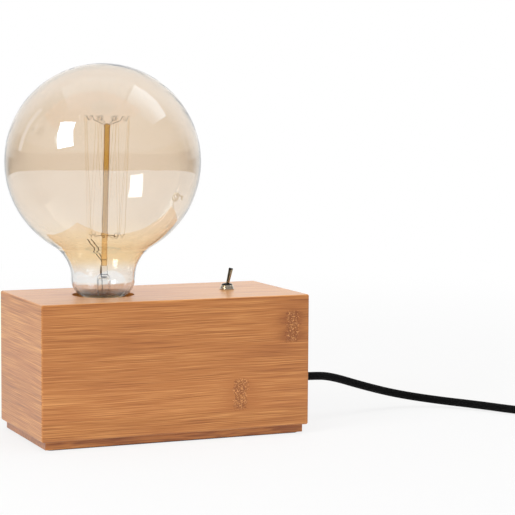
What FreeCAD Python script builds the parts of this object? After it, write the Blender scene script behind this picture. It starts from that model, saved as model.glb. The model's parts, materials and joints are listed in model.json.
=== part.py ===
import FreeCAD, Part
import math
import os
import Sketcher

# A table lamp: a bamboo block with a large round bulb screwed into it, a toggle
# switch on its top and a textile cord out of its right end.
# Millimetres, +Z up, +X along the block towards the switch. The origin lies on the
# surface that the lamp stands on, under the middle of the block.

Vector = FreeCAD.Vector

SIZES = [
    # block
    ("block_long", 180.0), ("block_deep", 90.0), ("block_high", 85.0),
    ("block_from", 5.8), ("wall", 10.0), ("edge_round", 1.2),
    ("corner_block_wide", 12.0), ("corner_block_high", 40.0),
    # base plate and the felt under it
    ("plinth_inset", 3.0), ("felt_thick", 0.8), ("felt_inset", 2.0), ("felt_hole_radius", 4.5),
    ("step_high", 4.0), ("step_gap", 0.5),
    ("screw_radius", 1.75), ("screw_head_radius", 3.5), ("screw_long", 22.0),
    ("bracket_screw_deep", 6.0),
    # openings in the block
    ("bulb_place", -35.0), ("bulb_hole_radius", 20.0),
    ("switch_place", 51.0), ("switch_skin", 3.0), ("switch_well_radius", 9.0),
    ("cord_height", 29.8), ("cord_hole_radius", 4.6),
    # bulb glass
    ("globe_radius", 62.5), ("globe_height", 175.9), ("glass_thick", 1.0),
    ("neck_radius", 20.4), ("shoulder_radius", 24.0), ("neck_straight", 0.9),
    ("taper_radius", 12.0), ("glass_end", 86.3), ("seal_radius", 11.7), ("seal_long", 7.7),
    # bulb cap, an E27 screw
    ("cap_tip", 60.0), ("cap_high", 27.4), ("cap_root", 12.1), ("cap_crest", 13.1),
    ("cap_rim", 13.3), ("thread_pitch", 3.629), ("cap_ridge_half", 1.4),
    ("cap_ridge_from", 8.4), ("cap_ridge_turns", 3.8), ("contact_radius", 4.2),
    # bulb inside
    ("stem_foot", 82.5), ("stem_press", 104.5), ("press_high", 5.5), ("flare_radius", 4.35),
    ("rod_radius", 1.85), ("rod_from", 110.0), ("rod_to", 199.5), ("stem_lean", 1.3),
    ("upper_hooks", 8.0), ("upper_hook_reach", 14.5), ("upper_hook_height", 204.5),
    ("lower_hook_reach", 12.5), ("lower_hook_height", 129.0), ("hook_wire", 0.25),
    ("filament_wire", 0.2), ("lead_wire", 0.35), ("cage_bearing", 156.4),
    # lampholder
    ("holder_radius", 19.25), ("holder_wall", 2.2), ("holder_top", 84.5), ("holder_split", 52.0),
    ("holder_foot", 43.0), ("insert_top", 59.0), ("socket_inner", 13.5), ("socket_ridge", 12.6),
    ("socket_sheet", 0.4), ("socket_ridge_half", 1.3), ("nipple_radius", 5.0),
    ("nipple_bore", 3.5), ("nipple_from", 33.0), ("bracket_top", 40.0), ("bracket_sheet", 2.0),
    ("bracket_half", 24.0), ("bracket_foot", 12.0), ("bracket_wide", 20.0), ("nut_flat", 14.0),
    # toggle switch
    ("nut_radius", 4.85), ("nut_top_radius", 2.9), ("nut_high", 4.0), ("bushing_radius", 3.0),
    ("bushing_bore", 2.2), ("bushing_proud", 3.2), ("washer_thick", 0.6), ("washer_radius", 6.0),
    ("case_long", 13.2), ("case_wide", 8.0), ("case_high", 9.0), ("case_wall", 1.0),
    ("flange_thick", 1.0), ("lever_pivot", 92.8), ("lever_reach", 12.4), ("lever_tail", 8.05),
    ("lever_base_radius", 1.0), ("lever_tip_radius", 1.45), ("lever_ball_radius", 1.9),
    ("lever_lean", 13.4), ("lever_pin_radius", 0.45), ("lever_pin_half", 2.7),
    ("rocker_tilt", 8.0), ("rocker_pivot", 84.0), ("rocker_half", 4.0), ("rocker_wide", 3.0),
    ("rocker_pin_radius", 0.4), ("terminal_step", 4.7), ("terminal_end", 73.0),
    # cord and strain relief
    ("cord_radius", 2.75), ("relief_neck", 4.5), ("relief_flange", 6.0), ("relief_end", 102.0),
    ("relief_lip", 5.4), ("core_radius", 1.0), ("inner_cord_to", 62.0),
    # coil of the spare cord
    ("coil_x", 316.6), ("coil_y", -47.4), ("coil_height", 3.35), ("coil_inner", 21.0),
    ("coil_pitch", 6.1), ("coil_rise", 6.0), ("coil_turns", 7.4), ("coil_first", -146.0),
    ("tie_wide", 9.0), ("tie_thick", 0.5), ("tie_angle", 95.0),
    # plug
    ("plug_x", 359.0), ("plug_y", 2.0), ("plug_heading", 95.0), ("plug_thick", 13.7),
    ("plug_half", 13.0), ("plug_long", 36.0), ("plug_relief_long", 24.0),
    ("pin_step", 18.6), ("pin_radius", 2.0), ("pin_core", 1.45), ("sleeve_radius", 1.8),
    ("pin_long", 19.0), ("pin_bare", 9.0), ("pin_rooted", 10.0),
]

# The cord's way from the strain relief to the floor and towards the coil.
CORD_LEAD = [
    (102.0, 0.0, 29.8), (114.5, 0.0, 29.8), (130.5, 6.0, 27.7), (158.0, 12.5, 18.6),
    (188.5, 20.5, 9.8), (216.5, 14.0, 4.8), (238.0, -9.0, 3.6),
]
CORD_FLOOR_BEFORE_COIL = 40.0
CORD_LEVEL_BEFORE_COIL = 18.0
CORD_FLOOR_HEIGHT = 2.9
# The cord's end between the coil and the plug.
TAIL_MIDDLE = (361.4, -19.5, 6.7)
TAIL_LEVEL = 10.0

LIVE_WIRE = [
    (62.0, -1.2, 29.8), (50.0, -1.2, 29.8), (40.0, -4.0, 38.0), (42.0, -5.0, 52.0),
    (51.0, 0.0, 62.0), (51.0, 0.0, 73.0),
]
NEUTRAL_WIRE = [
    (62.0, 1.2, 29.8), (50.0, 1.2, 29.8), (32.0, 10.0, 24.0), (8.0, 17.0, 19.0),
    (-16.0, 15.5, 19.0), (-31.0, 5.0, 20.5), (-35.0, 1.3, 32.0), (-35.0, 1.3, 52.4),
]
SWITCHED_WIRE = [
    (46.3, 0.0, 73.0), (46.3, 0.0, 62.0), (30.0, -9.0, 44.0), (12.0, -17.0, 26.0),
    (-10.0, -17.0, 19.0), (-29.0, -6.0, 20.0), (-35.0, -1.3, 32.0), (-35.0, -1.3, 52.4),
]

doc = FreeCAD.newDocument("bare_bulb_table_lamp")
sheet = doc.addObject("Spreadsheet::Sheet", "sizes")
SUB_PARTS = []


class Dim:
    """A size together with its formula in the sheet, so that what is worked out stays bound."""

    def __init__(self, text, value):
        self.text, self.value = text, value

    def joined(self, sign, other, value):
        return Dim(f"({self.text} {sign} {formula(other)})", value)

    def __add__(self, other):
        return self.joined("+", other, self.value + number(other))

    def __sub__(self, other):
        return self.joined("-", other, self.value - number(other))

    def __mul__(self, other):
        return self.joined("*", other, self.value * number(other))

    def __truediv__(self, other):
        return self.joined("/", other, self.value / number(other))

    def __radd__(self, other):
        return dim(other) + self

    def __rsub__(self, other):
        return dim(other) - self

    def __rmul__(self, other):
        return dim(other) * self

    def __neg__(self):
        return Dim(f"(-1 * {self.text})", -self.value)

    def root(self):
        return Dim(f"sqrt({self.text})", math.sqrt(self.value))


def dim(value):
    return value if isinstance(value, Dim) else Dim(repr(float(value)), float(value))


def number(value):
    return dim(value).value


def formula(value):
    return dim(value).text


def fill_sheet():
    for row, (alias, value) in enumerate(SIZES, start=1):
        sheet.set(f"A{row}", alias)
        sheet.set(f"B{row}", str(value))
        sheet.setAlias(f"B{row}", alias)
    doc.recompute()


class Sizes:
    """The sheet's cells as dimensions: sizes.wall is the cell named wall."""

    def __getattr__(self, alias):
        return Dim(f"sizes.{alias}", float(sheet.get(alias)))


def bind(item, prop, value):
    item.setExpression(prop, formula(value))


def put(item, x=0, y=0, z=0):
    """Place an object by its origin, bound to the sheet."""
    for letter, value in zip("xyz", (x, y, z)):
        bind(item, f"Placement.Base.{letter}", value)
    return item


def turn(item, axis, angle):
    """Turn an object about its own origin, by an angle in degrees bound to the sheet."""
    item.Placement.Rotation = FreeCAD.Rotation(Vector(*axis), 1.0)
    bind(item, "Placement.Rotation.Angle", angle)
    return item


def node(item, name):
    item.Label = name
    SUB_PARTS.append(item)
    return item


# ---------------------------------------------------------------- sketches and bodies


def origin_plane(body, role):
    return next(f for f in body.Origin.OriginFeatures if f.Role == role)


def arc_between(start, end, radius):
    """The short arc of the given radius: anticlockwise where it is positive."""
    (x0, y0), (x1, y1) = start, end
    half = math.hypot(x1 - x0, y1 - y0) / 2
    rise = math.sqrt(max(radius * radius - half * half, 0.0)) * (1 if radius > 0 else -1)
    centre = Vector(
        (x0 + x1) / 2 - (y1 - y0) / (2 * half) * rise,
        (y0 + y1) / 2 + (x1 - x0) / (2 * half) * rise,
        0,
    )
    first, last = (start, end) if radius > 0 else (end, start)
    angles = [math.atan2(p[1] - centre.y, p[0] - centre.x) for p in (first, last)]
    circle = Part.Circle(centre, Vector(0, 0, 1), abs(radius))
    return Part.ArcOfCircle(circle, *angles)


def outline(body, plane, corners, name="outline"):
    """A closed sketch. A corner is (u, v), or (u, v, r) where an arc of radius r leaves it."""
    sketch = body.newObject("Sketcher::SketchObject", name)
    sketch.AttachmentSupport = [(origin_plane(body, plane), "")]
    sketch.MapMode = "FlatFace"
    places = [(number(c[0]), number(c[1])) for c in corners]
    ends = []
    for i, corner in enumerate(corners):
        start, end = places[i], places[(i + 1) % len(places)]
        if len(corner) == 3:
            arc = arc_between(start, end, number(corner[2]))
            sketch.addGeometry(arc, False)
            ends.append((1, 2) if number(corner[2]) > 0 else (2, 1))
        else:
            line = Part.LineSegment(Vector(*start, 0), Vector(*end, 0))
            sketch.addGeometry(line, False)
            ends.append((1, 2))
    for i, corner in enumerate(corners):
        after = (i + 1) % len(corners)
        sketch.addConstraint(
            Sketcher.Constraint("Coincident", i, ends[i][1], after, ends[after][0])
        )
        tie_corner(sketch, i, ends[i][0], corner)
    return sketch


def tie_corner(sketch, element, point, corner):
    """Bind a corner's two coordinates, and its arc's radius, to the sheet."""
    for kind, value in zip(("DistanceX", "DistanceY"), corner[:2]):
        constraint = Sketcher.Constraint(kind, -1, 1, element, point, number(value))
        at = sketch.addConstraint(constraint)
        sketch.setExpression(f"Constraints[{at}]", formula(value))
    if len(corner) == 3:
        size = corner[2] if number(corner[2]) > 0 else -corner[2]
        at = sketch.addConstraint(Sketcher.Constraint("Radius", element, number(size)))
        sketch.setExpression(f"Constraints[{at}]", formula(size))


def new_body(name):
    return doc.addObject("PartDesign::Body", name)


def turned(name, corners, plane="XZ_Plane"):
    """A body of revolution about its own Z axis: corners are (radius, height)."""
    body = new_body(name)
    sketch = outline(body, plane, corners)
    spin = body.newObject("PartDesign::Revolution", "turned")
    spin.Profile = sketch
    spin.ReferenceAxis = (sketch, ["V_Axis"])
    spin.Angle = 360
    return body


def padded(name, plane, corners, length, both_sides=False):
    """A body pushed out of one flat outline."""
    body = new_body(name)
    sketch = outline(body, plane, corners)
    pad = body.newObject("PartDesign::Pad", "pad")
    pad.Profile = sketch
    pad.SideType = "Symmetric" if both_sides else "One side"
    bind(pad, "Length", length)
    return body


def rectangle(half_long, half_wide):
    return [
        (-half_long, -half_wide), (half_long, -half_wide),
        (half_long, half_wide), (-half_long, half_wide),
    ]


def rounded(body, edges, radius):
    """Round the chosen edges of a body's last feature."""
    doc.recompute()
    last = body.Tip
    fillet = body.newObject("PartDesign::Fillet", "rounding")
    fillet.Base = (last, edges)
    bind(fillet, "Radius", radius)
    return body


def helical_ridge(body, root, crest, half, first, turns):
    """A triangular screw ridge: root and crest are radii, first is its lowest height."""
    corners = [(root, first - half), (crest, first), (root, first + half)]
    if number(crest) < number(root):
        corners.reverse()
    sketch = outline(body, "XZ_Plane", corners, "ridge")
    helix = body.newObject("PartDesign::AdditiveHelix", "screw")
    helix.Profile = sketch
    helix.ReferenceAxis = (sketch, ["V_Axis"])
    helix.Mode = "pitch-turns-angle"
    bind(helix, "Pitch", sizes.thread_pitch)
    bind(helix, "Turns", turns)
    return body


# ---------------------------------------------------------------- primitives


def box(name, low, high):
    item = doc.addObject("Part::Box", name)
    for prop, a, b in zip(("Length", "Width", "Height"), low, high):
        bind(item, prop, dim(b) - a)
    return put(item, *low)


def cylinder(name, radius, height, at):
    item = doc.addObject("Part::Cylinder", name)
    bind(item, "Radius", radius)
    bind(item, "Height", height)
    return put(item, *at)


def lying_cylinder(name, radius, length, at):
    """A cylinder that runs along +X from the point given."""
    item = cylinder(name, radius, length, at)
    item.Placement.Rotation = FreeCAD.Rotation(Vector(0, 1, 0), 90)
    return item


def group(name, items):
    item = doc.addObject("Part::Compound", name)
    item.Links = items
    return item


def cut(name, base, tools):
    item = doc.addObject("Part::Cut", name)
    item.Base = base
    item.Tool = tools[0] if len(tools) == 1 else group(name + "_tools", tools)
    return item


def common(name, base, tool):
    item = doc.addObject("Part::Common", name)
    item.Base, item.Tool = base, tool
    return item


def fused(name, base, tool):
    item = doc.addObject("Part::Fuse", name)
    item.Base, item.Tool = base, tool
    return item


def mirrored(name, source, normal, through=0):
    """Mirror a copy of an object across a plane that is square to X or Y."""
    item = doc.addObject("Part::Mirroring", name)
    item.Source = source
    item.Normal = Vector(*normal)
    letter = "x" if normal[0] else "y"
    bind(item, f"Base.{letter}", through)
    return item


def four_of(name, source, x=0, y=0):
    """One object and its three mirror images about the point (x, y)."""
    pair = group(name + "_pair", [source, mirrored(name + "_x", source, (1, 0, 0), x)])
    return group(name, [pair, mirrored(name + "_y", pair, (0, 1, 0), y)])


# ---------------------------------------------------------------- routes and tubes


def arc_edge(start, corner, end):
    """The arc that leaves start towards corner and arrives at end from it."""
    middle = (start + end) * 0.5
    weight = (middle - start).Length / (corner - start).Length
    top = (middle + corner * weight) * (1 / (1 + weight))
    return Part.Arc(start, top, end).toShape()


def bent_path(points):
    """Straight runs joined by the largest arcs that they allow. Gives edges and arc radii."""
    points = [Vector(*p) for p in points]
    edges, radii, here = [], [], points[0]
    for before, at, after in zip(points, points[1:], points[2:]):
        run_in, run_out = at - before, after - at
        reach = 0.45 * min(run_in.Length, run_out.Length)
        half_turn = run_in.getAngle(run_out) / 2
        radii.append(reach / math.tan(half_turn))
        start = at - run_in.normalize() * reach
        end = at + run_out.normalize() * reach
        edges += [Part.LineSegment(here, start).toShape(), arc_edge(start, at, end)]
        here = end
    edges.append(Part.LineSegment(here, points[-1]).toShape())
    return edges, radii


def biarc(start, heading, end, arriving):
    """Two arcs from start to end with the given unit directions at both."""
    across = end - start
    both = heading + arriving
    bend = 2 * (1 - heading.dot(arriving))
    along = across.dot(both)
    reach = (math.sqrt(along * along + bend * across.dot(across)) - along) / bend
    first, last = start + heading * reach, end - arriving * reach
    joint = (first + last) * 0.5
    return [arc_edge(start, first, joint), arc_edge(joint, last, end)]


def tube(edges, radius):
    """A round solid along a path of joined edges."""
    path = Part.Wire(edges)
    start = path.Edges[0].valueAt(path.Edges[0].FirstParameter)
    heading = path.Edges[0].tangentAt(path.Edges[0].FirstParameter)
    ring = Part.Wire(Part.Circle(start, heading, radius).toShape())
    return path.makePipeShell([ring], True, False)


def made(name, shape, at=Vector(0, 0, 0), turned_by=0.0):
    """A sub-part from a ready shape, set at a point and turned about Z by degrees."""
    item = doc.addObject("Part::Feature", name)
    item.Shape = shape
    item.Placement = FreeCAD.Placement(at, FreeCAD.Rotation(Vector(0, 0, 1), turned_by))
    return node(item, name)


def report_tube(name, edges, solid, radius):
    """Print a tube's length and how its volume compares with section times length."""
    length = sum(edge.Length for edge in edges)
    ratio = solid.Volume / (math.pi * radius * radius * length)
    print(f"{name}: length {length:.1f} mm, volume ratio {ratio:.4f}")
    return length


# ---------------------------------------------------------------- the block


def block_shell():
    """The rounded block, hollow and open below, from which the five panels are taken."""
    solid = padded(
        "block_solid", "XY_Plane",
        rectangle(sizes.block_long / 2, sizes.block_deep / 2), sizes.block_high,
    )
    put(solid, z=sizes.block_from)
    doc.recompute()
    edges = [f"Edge{i + 1}" for i in range(len(solid.Shape.Edges))]
    rounded(solid, edges, sizes.edge_round)
    reach_x = sizes.block_long / 2 - sizes.wall
    reach_y = sizes.block_deep / 2 - sizes.wall
    top = sizes.block_from + sizes.block_high - sizes.wall
    cavity = box("cavity", (-reach_x, -reach_y, 0), (reach_x, reach_y, top))
    return cut("block_shell", solid, [cavity])


def mitre_wedge(name, side):
    """The space of one panel: it narrows inwards at 45 degrees where it meets another."""
    item = doc.addObject("Part::Wedge", name)
    half_x, half_y = sizes.block_long / 2, sizes.block_deep / 2
    low, high = sizes.block_from, sizes.block_from + sizes.block_high
    half = half_y if side in ("left", "right") else half_x
    inner_low, inner_high = -(half - sizes.wall), half - sizes.wall
    ranges = {
        "Xmin": -half, "Xmax": half, "X2min": inner_low, "X2max": inner_high,
        "Ymin": 0, "Ymax": sizes.wall,
    }
    if side == "top":
        reach = half_y - sizes.wall
        ranges.update({"Zmin": -half_y, "Zmax": half_y, "Z2min": -reach, "Z2max": reach})
    else:
        ranges.update({"Zmin": low, "Zmax": high, "Z2min": low, "Z2max": high - sizes.wall})
    for prop, value in ranges.items():
        bind(item, prop, value)
    turns = {
        "front": ((0, 0, 1), 0), "back": ((0, 0, 1), 180), "right": ((0, 0, 1), 90),
        "left": ((0, 0, 1), -90), "top": ((1, 0, 0), -90),
    }
    item.Placement.Rotation = FreeCAD.Rotation(Vector(*turns[side][0]), turns[side][1])
    places = {
        "front": (0, -half_y, 0), "back": (0, half_y, 0), "right": (half_x, 0, 0),
        "left": (-half_x, 0, 0), "top": (0, 0, high),
    }
    return put(item, *places[side])


def panels():
    shell = block_shell()
    top = sizes.block_from + sizes.block_high
    bulb_hole = cylinder(
        "bulb_hole", sizes.bulb_hole_radius, sizes.wall * 2,
        (sizes.bulb_place, 0, top - sizes.wall * 1.5),
    )
    switch_hole = cylinder(
        "switch_hole", sizes.bushing_radius, sizes.wall * 2,
        (sizes.switch_place, 0, top - sizes.wall * 1.5),
    )
    switch_well = cylinder(
        "switch_well", sizes.switch_well_radius, sizes.wall,
        (sizes.switch_place, 0, top - sizes.switch_skin - sizes.wall),
    )
    cord_hole = lying_cylinder(
        "cord_hole", sizes.cord_hole_radius, sizes.wall * 2,
        (sizes.block_long / 2 - sizes.wall * 1.5, 0, sizes.cord_height),
    )
    for side in ("front", "back", "left"):
        node(common(side + "_panel", shell, mitre_wedge(side + "_space", side)), side + "_panel")
    right = common("right_plain", shell, mitre_wedge("right_space", "right"))
    node(cut("right_panel", right, [cord_hole]), "right_panel")
    plain = common("top_plain", shell, mitre_wedge("top_space", "top"))
    bored = cut("top_bored", plain, [bulb_hole])
    drilled = cut("top_drilled", bored, [switch_hole])
    node(cut("top_panel", drilled, [switch_well]), "top_panel")


def corner_place():
    """The middle of the corner block at +X, +Y."""
    inset = sizes.wall + sizes.corner_block_wide / 2
    return sizes.block_long / 2 - inset, sizes.block_deep / 2 - inset


def corner_blocks():
    """Four glued posts in the corners, which the base plate's screws bite into."""
    x, y = corner_place()
    half = sizes.corner_block_wide / 2
    foot = sizes.block_from + sizes.step_high
    post = box("corner_post", (x - half, y - half, foot),
               (x + half, y + half, foot + sizes.corner_block_high))
    pilot = cylinder("corner_pilot", sizes.screw_radius, sizes.screw_long, (x, y, 1))
    node(four_of("corner_blocks", cut("corner_bored", post, [pilot])), "corner_blocks")


def base_screw_corners():
    """A countersunk screw, head down: the point is a short cone."""
    r, head, long = sizes.screw_radius, sizes.screw_head_radius, sizes.screw_long
    return [(0, 0), (head, 0), (r, head - r), (r, long - r * 2), (0, long)]


def base_parts():
    """The plinth plate that closes the block from below, its screws and its felt."""
    half_x = sizes.block_long / 2 - sizes.plinth_inset
    half_y = sizes.block_deep / 2 - sizes.plinth_inset
    low, top = sizes.felt_thick, sizes.block_from
    plinth = box("plinth", (-half_x, -half_y, low), (half_x, half_y, top))
    step_x = sizes.block_long / 2 - sizes.wall - sizes.step_gap
    step_y = sizes.block_deep / 2 - sizes.wall - sizes.step_gap
    step = box("plinth_step", (-step_x, -step_y, top), (step_x, step_y, top + sizes.step_high))
    plate = fused("plate_plain", plinth, step)
    x, y = corner_place()
    screw = turned("base_screw", base_screw_corners())
    put(screw, x, y, low)
    screws = four_of("base_screws", screw)
    felt_x, felt_y = half_x - sizes.felt_inset, half_y - sizes.felt_inset
    felt = box("felt_plain", (-felt_x, -felt_y, 0), (felt_x, felt_y, low))
    opening = cylinder("felt_opening", sizes.felt_hole_radius, 4, (x, y, -2))
    node(cut("base_felt", felt, [four_of("felt_openings", opening)]), "base_felt")
    screw_x, screw_y = bracket_screw_place()
    pilot = cylinder("bracket_pilot", sizes.screw_radius, sizes.bracket_screw_deep + 1,
                     (screw_x, screw_y, top + sizes.step_high - sizes.bracket_screw_deep))
    pilots = four_of("bracket_pilots", pilot, x=sizes.bulb_place)
    bored = cut("plate_bored", plate, [screws])
    node(cut("base_plate", bored, [pilots]), "base_plate")
    node(screws, "base_screws")


# ---------------------------------------------------------------- the lampholder


def bracket_screw_place():
    out = sizes.bracket_half + sizes.bracket_foot / 2 + 1
    return sizes.bulb_place + out, sizes.bracket_wide / 4


def holder_bracket():
    """A bent steel strip: two feet on the base plate, two legs and a web under the holder."""
    floor = sizes.block_from + sizes.step_high
    top, sheet_thick, half = sizes.bracket_top, sizes.bracket_sheet, sizes.bracket_half
    reach = half + sizes.bracket_foot
    strip = padded(
        "bracket_strip", "XZ_Plane",
        [
            (-reach, floor), (-(half - sheet_thick), floor),
            (-(half - sheet_thick), top - sheet_thick), (half - sheet_thick, top - sheet_thick),
            (half - sheet_thick, floor), (reach, floor), (reach, floor + sheet_thick),
            (half, floor + sheet_thick), (half, top), (-half, top),
            (-half, floor + sheet_thick), (-reach, floor + sheet_thick),
        ],
        sizes.bracket_wide, both_sides=True,
    )
    put(strip, x=sizes.bulb_place)
    bore = cylinder("bracket_bore", sizes.nipple_radius, 12, (sizes.bulb_place, 0, top - 6))
    x, y = bracket_screw_place()
    hole = cylinder("bracket_hole", sizes.screw_radius, 6, (x, y, floor - 2))
    holes = four_of("bracket_holes", hole, x=sizes.bulb_place)
    bored = cut("bracket_bored", strip, [bore])
    node(cut("holder_bracket", bored, [holes]), "holder_bracket")
    screw = turned("bracket_screw", [
        (0, -sizes.bracket_screw_deep), (sizes.screw_radius, 1.8 - sizes.bracket_screw_deep),
        (sizes.screw_radius, sheet_thick),
        (sizes.screw_head_radius, sheet_thick), (sizes.screw_head_radius, sheet_thick + 1.2),
        (0, sheet_thick + 2.2),
    ])
    put(screw, x, y, floor)
    node(four_of("bracket_screws", screw, x=sizes.bulb_place), "bracket_screws")


def holder_parts():
    """The moulded holder: cap below, skirt above, porcelain insert with its contacts."""
    x = sizes.bulb_place
    outer, inner = sizes.holder_radius, sizes.holder_radius - sizes.holder_wall
    split, foot = sizes.holder_split, sizes.holder_foot
    nipple_top = split - 2
    nipple = turned("holder_nipple", [
        (sizes.nipple_bore, sizes.nipple_from), (sizes.nipple_radius, sizes.nipple_from),
        (sizes.nipple_radius, nipple_top), (sizes.nipple_bore, nipple_top),
    ])
    node(put(nipple, x=x), "holder_nipple")
    nut_high = foot - sizes.bracket_top
    nut_blank = hexagon("nipple_nut_blank", sizes.nut_flat / 2, nut_high)
    put(nut_blank, x, 0, sizes.bracket_top)
    low_blank = hexagon("nipple_low_blank", sizes.nut_flat / 2, nut_high)
    put(low_blank, x, 0, sizes.bracket_top - sizes.bracket_sheet - nut_high)
    bore = cylinder("nipple_nut_bore", sizes.nipple_radius, 30, (x, 0, 25))
    nuts = [cut("nipple_nut_high", nut_blank, [bore]), cut("nipple_nut_low", low_blank, [bore])]
    node(group("nipple_nuts", nuts), "nipple_nuts")
    cap = turned("holder_cap", [
        (sizes.nipple_radius, foot), (9, foot), (outer - 3, split - 4), (outer, split),
        (inner, split), (outer - 5, split - 3.2), (8, foot + 3), (sizes.nipple_radius, foot + 3),
    ])
    node(put(cap, x=x), "holder_cap")
    lip = sizes.cap_rim + 1.3
    skirt = turned("holder_shell", [
        (inner, split), (outer, split), (outer, sizes.holder_top), (lip, sizes.holder_top),
        (lip, sizes.holder_top - 1.6), (inner, sizes.holder_top - 3),
    ])
    node(put(skirt, x=x), "holder_shell")
    seat = split + 0.6
    insert_disc = turned("holder_insert_disc", [
        (0, seat), (inner - 0.2, seat), (inner - 0.2, sizes.insert_top - 2),
        (sizes.socket_inner + 1.4, sizes.insert_top - 2),
        (sizes.socket_inner + 1.4, sizes.insert_top), (0, sizes.insert_top),
    ])
    put(insert_disc, x=x)
    ways = [
        cylinder(f"insert_way_{i}", sizes.core_radius, 20, (x, side * 1.3, seat - 5))
        for i, side in enumerate((-1, 1))
    ]
    screw_x = sizes.bulb_place + 10
    screw_bore = cylinder("terminal_bore", 1.5, 12, (screw_x, 0, seat - 4))
    screw_bores = group("terminal_bores", [
        screw_bore, mirrored("terminal_bores_x", screw_bore, (1, 0, 0), x),
    ])
    drilled = cut("insert_drilled", insert_disc, ways)
    node(cut("holder_insert", drilled, [screw_bores]), "holder_insert")
    screw = turned("terminal_screw", [
        (0, -0.5), (2.4, -0.5), (2.4, 0.6), (1.5, 0.6), (1.5, sizes.insert_top - seat + 0.1),
        (0, sizes.insert_top - seat + 0.1),
    ])
    put(screw, screw_x, 0, seat - 0.6)
    node(group("terminal_screws", [
        screw, mirrored("terminal_screws_x", screw, (1, 0, 0), x),
    ]), "terminal_screws")


def hexagon(name, flat_half, high):
    """A hexagonal prism with the given half width across flats."""
    slant = 1 / math.cos(math.pi / 6)
    corners = [
        (flat_half * (slant * math.cos(math.radians(60 * k))),
         flat_half * (slant * math.sin(math.radians(60 * k))))
        for k in range(6)
    ]
    return padded(name, "XY_Plane", corners, high)


def holder_contacts():
    """The threaded brass sleeve and the sprung centre tongue."""
    x = sizes.bulb_place
    inner, outer = sizes.socket_inner, sizes.socket_inner + sizes.socket_sheet
    low, high = sizes.insert_top, sizes.holder_top - 3.4
    sleeve = turned("socket_screw_shell", [
        (inner - 2, low), (outer, low), (outer, high), (inner, high),
        (inner, low + 0.5), (inner - 2, low + 0.5),
    ])
    first = sizes.cap_tip + sizes.cap_ridge_from + sizes.thread_pitch / 2
    helical_ridge(
        sleeve, inner + 0.2, sizes.socket_ridge, sizes.socket_ridge_half,
        first - sizes.thread_pitch, sizes.cap_ridge_turns + 0.4,
    )
    node(put(sleeve, x=x), "socket_screw_shell")
    tongue = padded("centre_contact", "XZ_Plane", [
        (-9, low), (-4, low), (0, sizes.cap_tip - 0.8), (4, sizes.cap_tip - 0.6),
        (4, sizes.cap_tip - 0.1), (-1, sizes.cap_tip - 0.2), (-4.5, low + 0.5), (-9, low + 0.5),
    ], 5, both_sides=True)
    node(put(tongue, x=x), "centre_contact")


# ---------------------------------------------------------------- the bulb


def envelope():
    """The blown globe, its shoulder, neck and taper, as a shell of even thickness."""
    radius, thick, neck = sizes.globe_radius, sizes.glass_thick, sizes.neck_radius
    shoulder, taper = sizes.shoulder_radius, sizes.taper_radius
    between = radius + shoulder
    centre_out = neck + shoulder
    centre_down = (between * between - centre_out * centre_out).root()
    straight_end = centre_down + sizes.neck_straight
    taper_out = neck - taper
    end, seal = sizes.glass_end, sizes.seal_radius
    fall = end - straight_end
    end_out = taper_out + (taper * taper - fall * fall).root()
    inner_taper = taper - thick
    seal_in = seal - thick
    step = seal_in - taper_out
    seal_up = straight_end + (inner_taper * inner_taper - step * step).root()
    outer_share, inner_share = radius / between, (radius - thick) / between
    glass = turned("glass_envelope", [
        (0, radius, -radius),
        (centre_out * outer_share, -(centre_down * outer_share), shoulder),
        (neck, -centre_down),
        (neck, -straight_end, -taper),
        (end_out, -end),
        (seal, -end),
        (seal, -(end + sizes.seal_long)),
        (seal_in, -(end + sizes.seal_long)),
        (seal_in, -seal_up, inner_taper),
        (neck - thick, -straight_end),
        (neck - thick, -centre_down, -(shoulder + thick)),
        (centre_out * inner_share, -(centre_down * inner_share), radius - thick),
        (0, radius - thick),
    ])
    node(put(glass, sizes.bulb_place, 0, sizes.globe_height), "glass_envelope")


def cap_parts():
    """The screw cap with its helical ridge, the glass insulator and the centre contact."""
    x, tip, root, rim = sizes.bulb_place, sizes.cap_tip, sizes.cap_root, sizes.cap_rim
    high, lined = sizes.cap_high, sizes.seal_radius
    cap = turned("bulb_cap", [
        (9.2, 3.6), (root, 5.6), (root, high - 2.5), (rim, high - 1.5), (rim, high),
        (lined, high), (lined, 6.0), (9.2, 4.2),
    ])
    helical_ridge(cap, root - 0.2, sizes.cap_crest, sizes.cap_ridge_half,
                  sizes.cap_ridge_from, sizes.cap_ridge_turns)
    node(put(cap, x, 0, tip), "bulb_cap")
    insulator = turned("cap_insulator", [
        (1.8, 0.9), (6, 0.9), (9.2, 3.6), (9.2, 5.4), (1.8, 5.4),
    ])
    node(put(insulator, x, 0, tip), "cap_insulator")
    contact = turned("cap_contact", [
        (0, 0), (sizes.contact_radius - 0.4, 0.2), (sizes.contact_radius, 0.75),
        (1.5, 0.75), (1.5, 5.8), (0, 5.8),
    ])
    node(put(contact, x, 0, tip), "cap_contact")


def lean_cage(item):
    """Set a piece that is drawn upright on the leaning axis of the glass stem."""
    across = math.radians(number(sizes.cage_bearing) - 90)
    item.Placement.Rotation = FreeCAD.Rotation(
        Vector(math.cos(across), math.sin(across), 0), 1.0
    )
    bind(item, "Placement.Rotation.Angle", sizes.stem_lean)
    return put(item, sizes.bulb_place, 0, sizes.stem_foot)


def above_foot(height):
    return height - sizes.stem_foot


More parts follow.
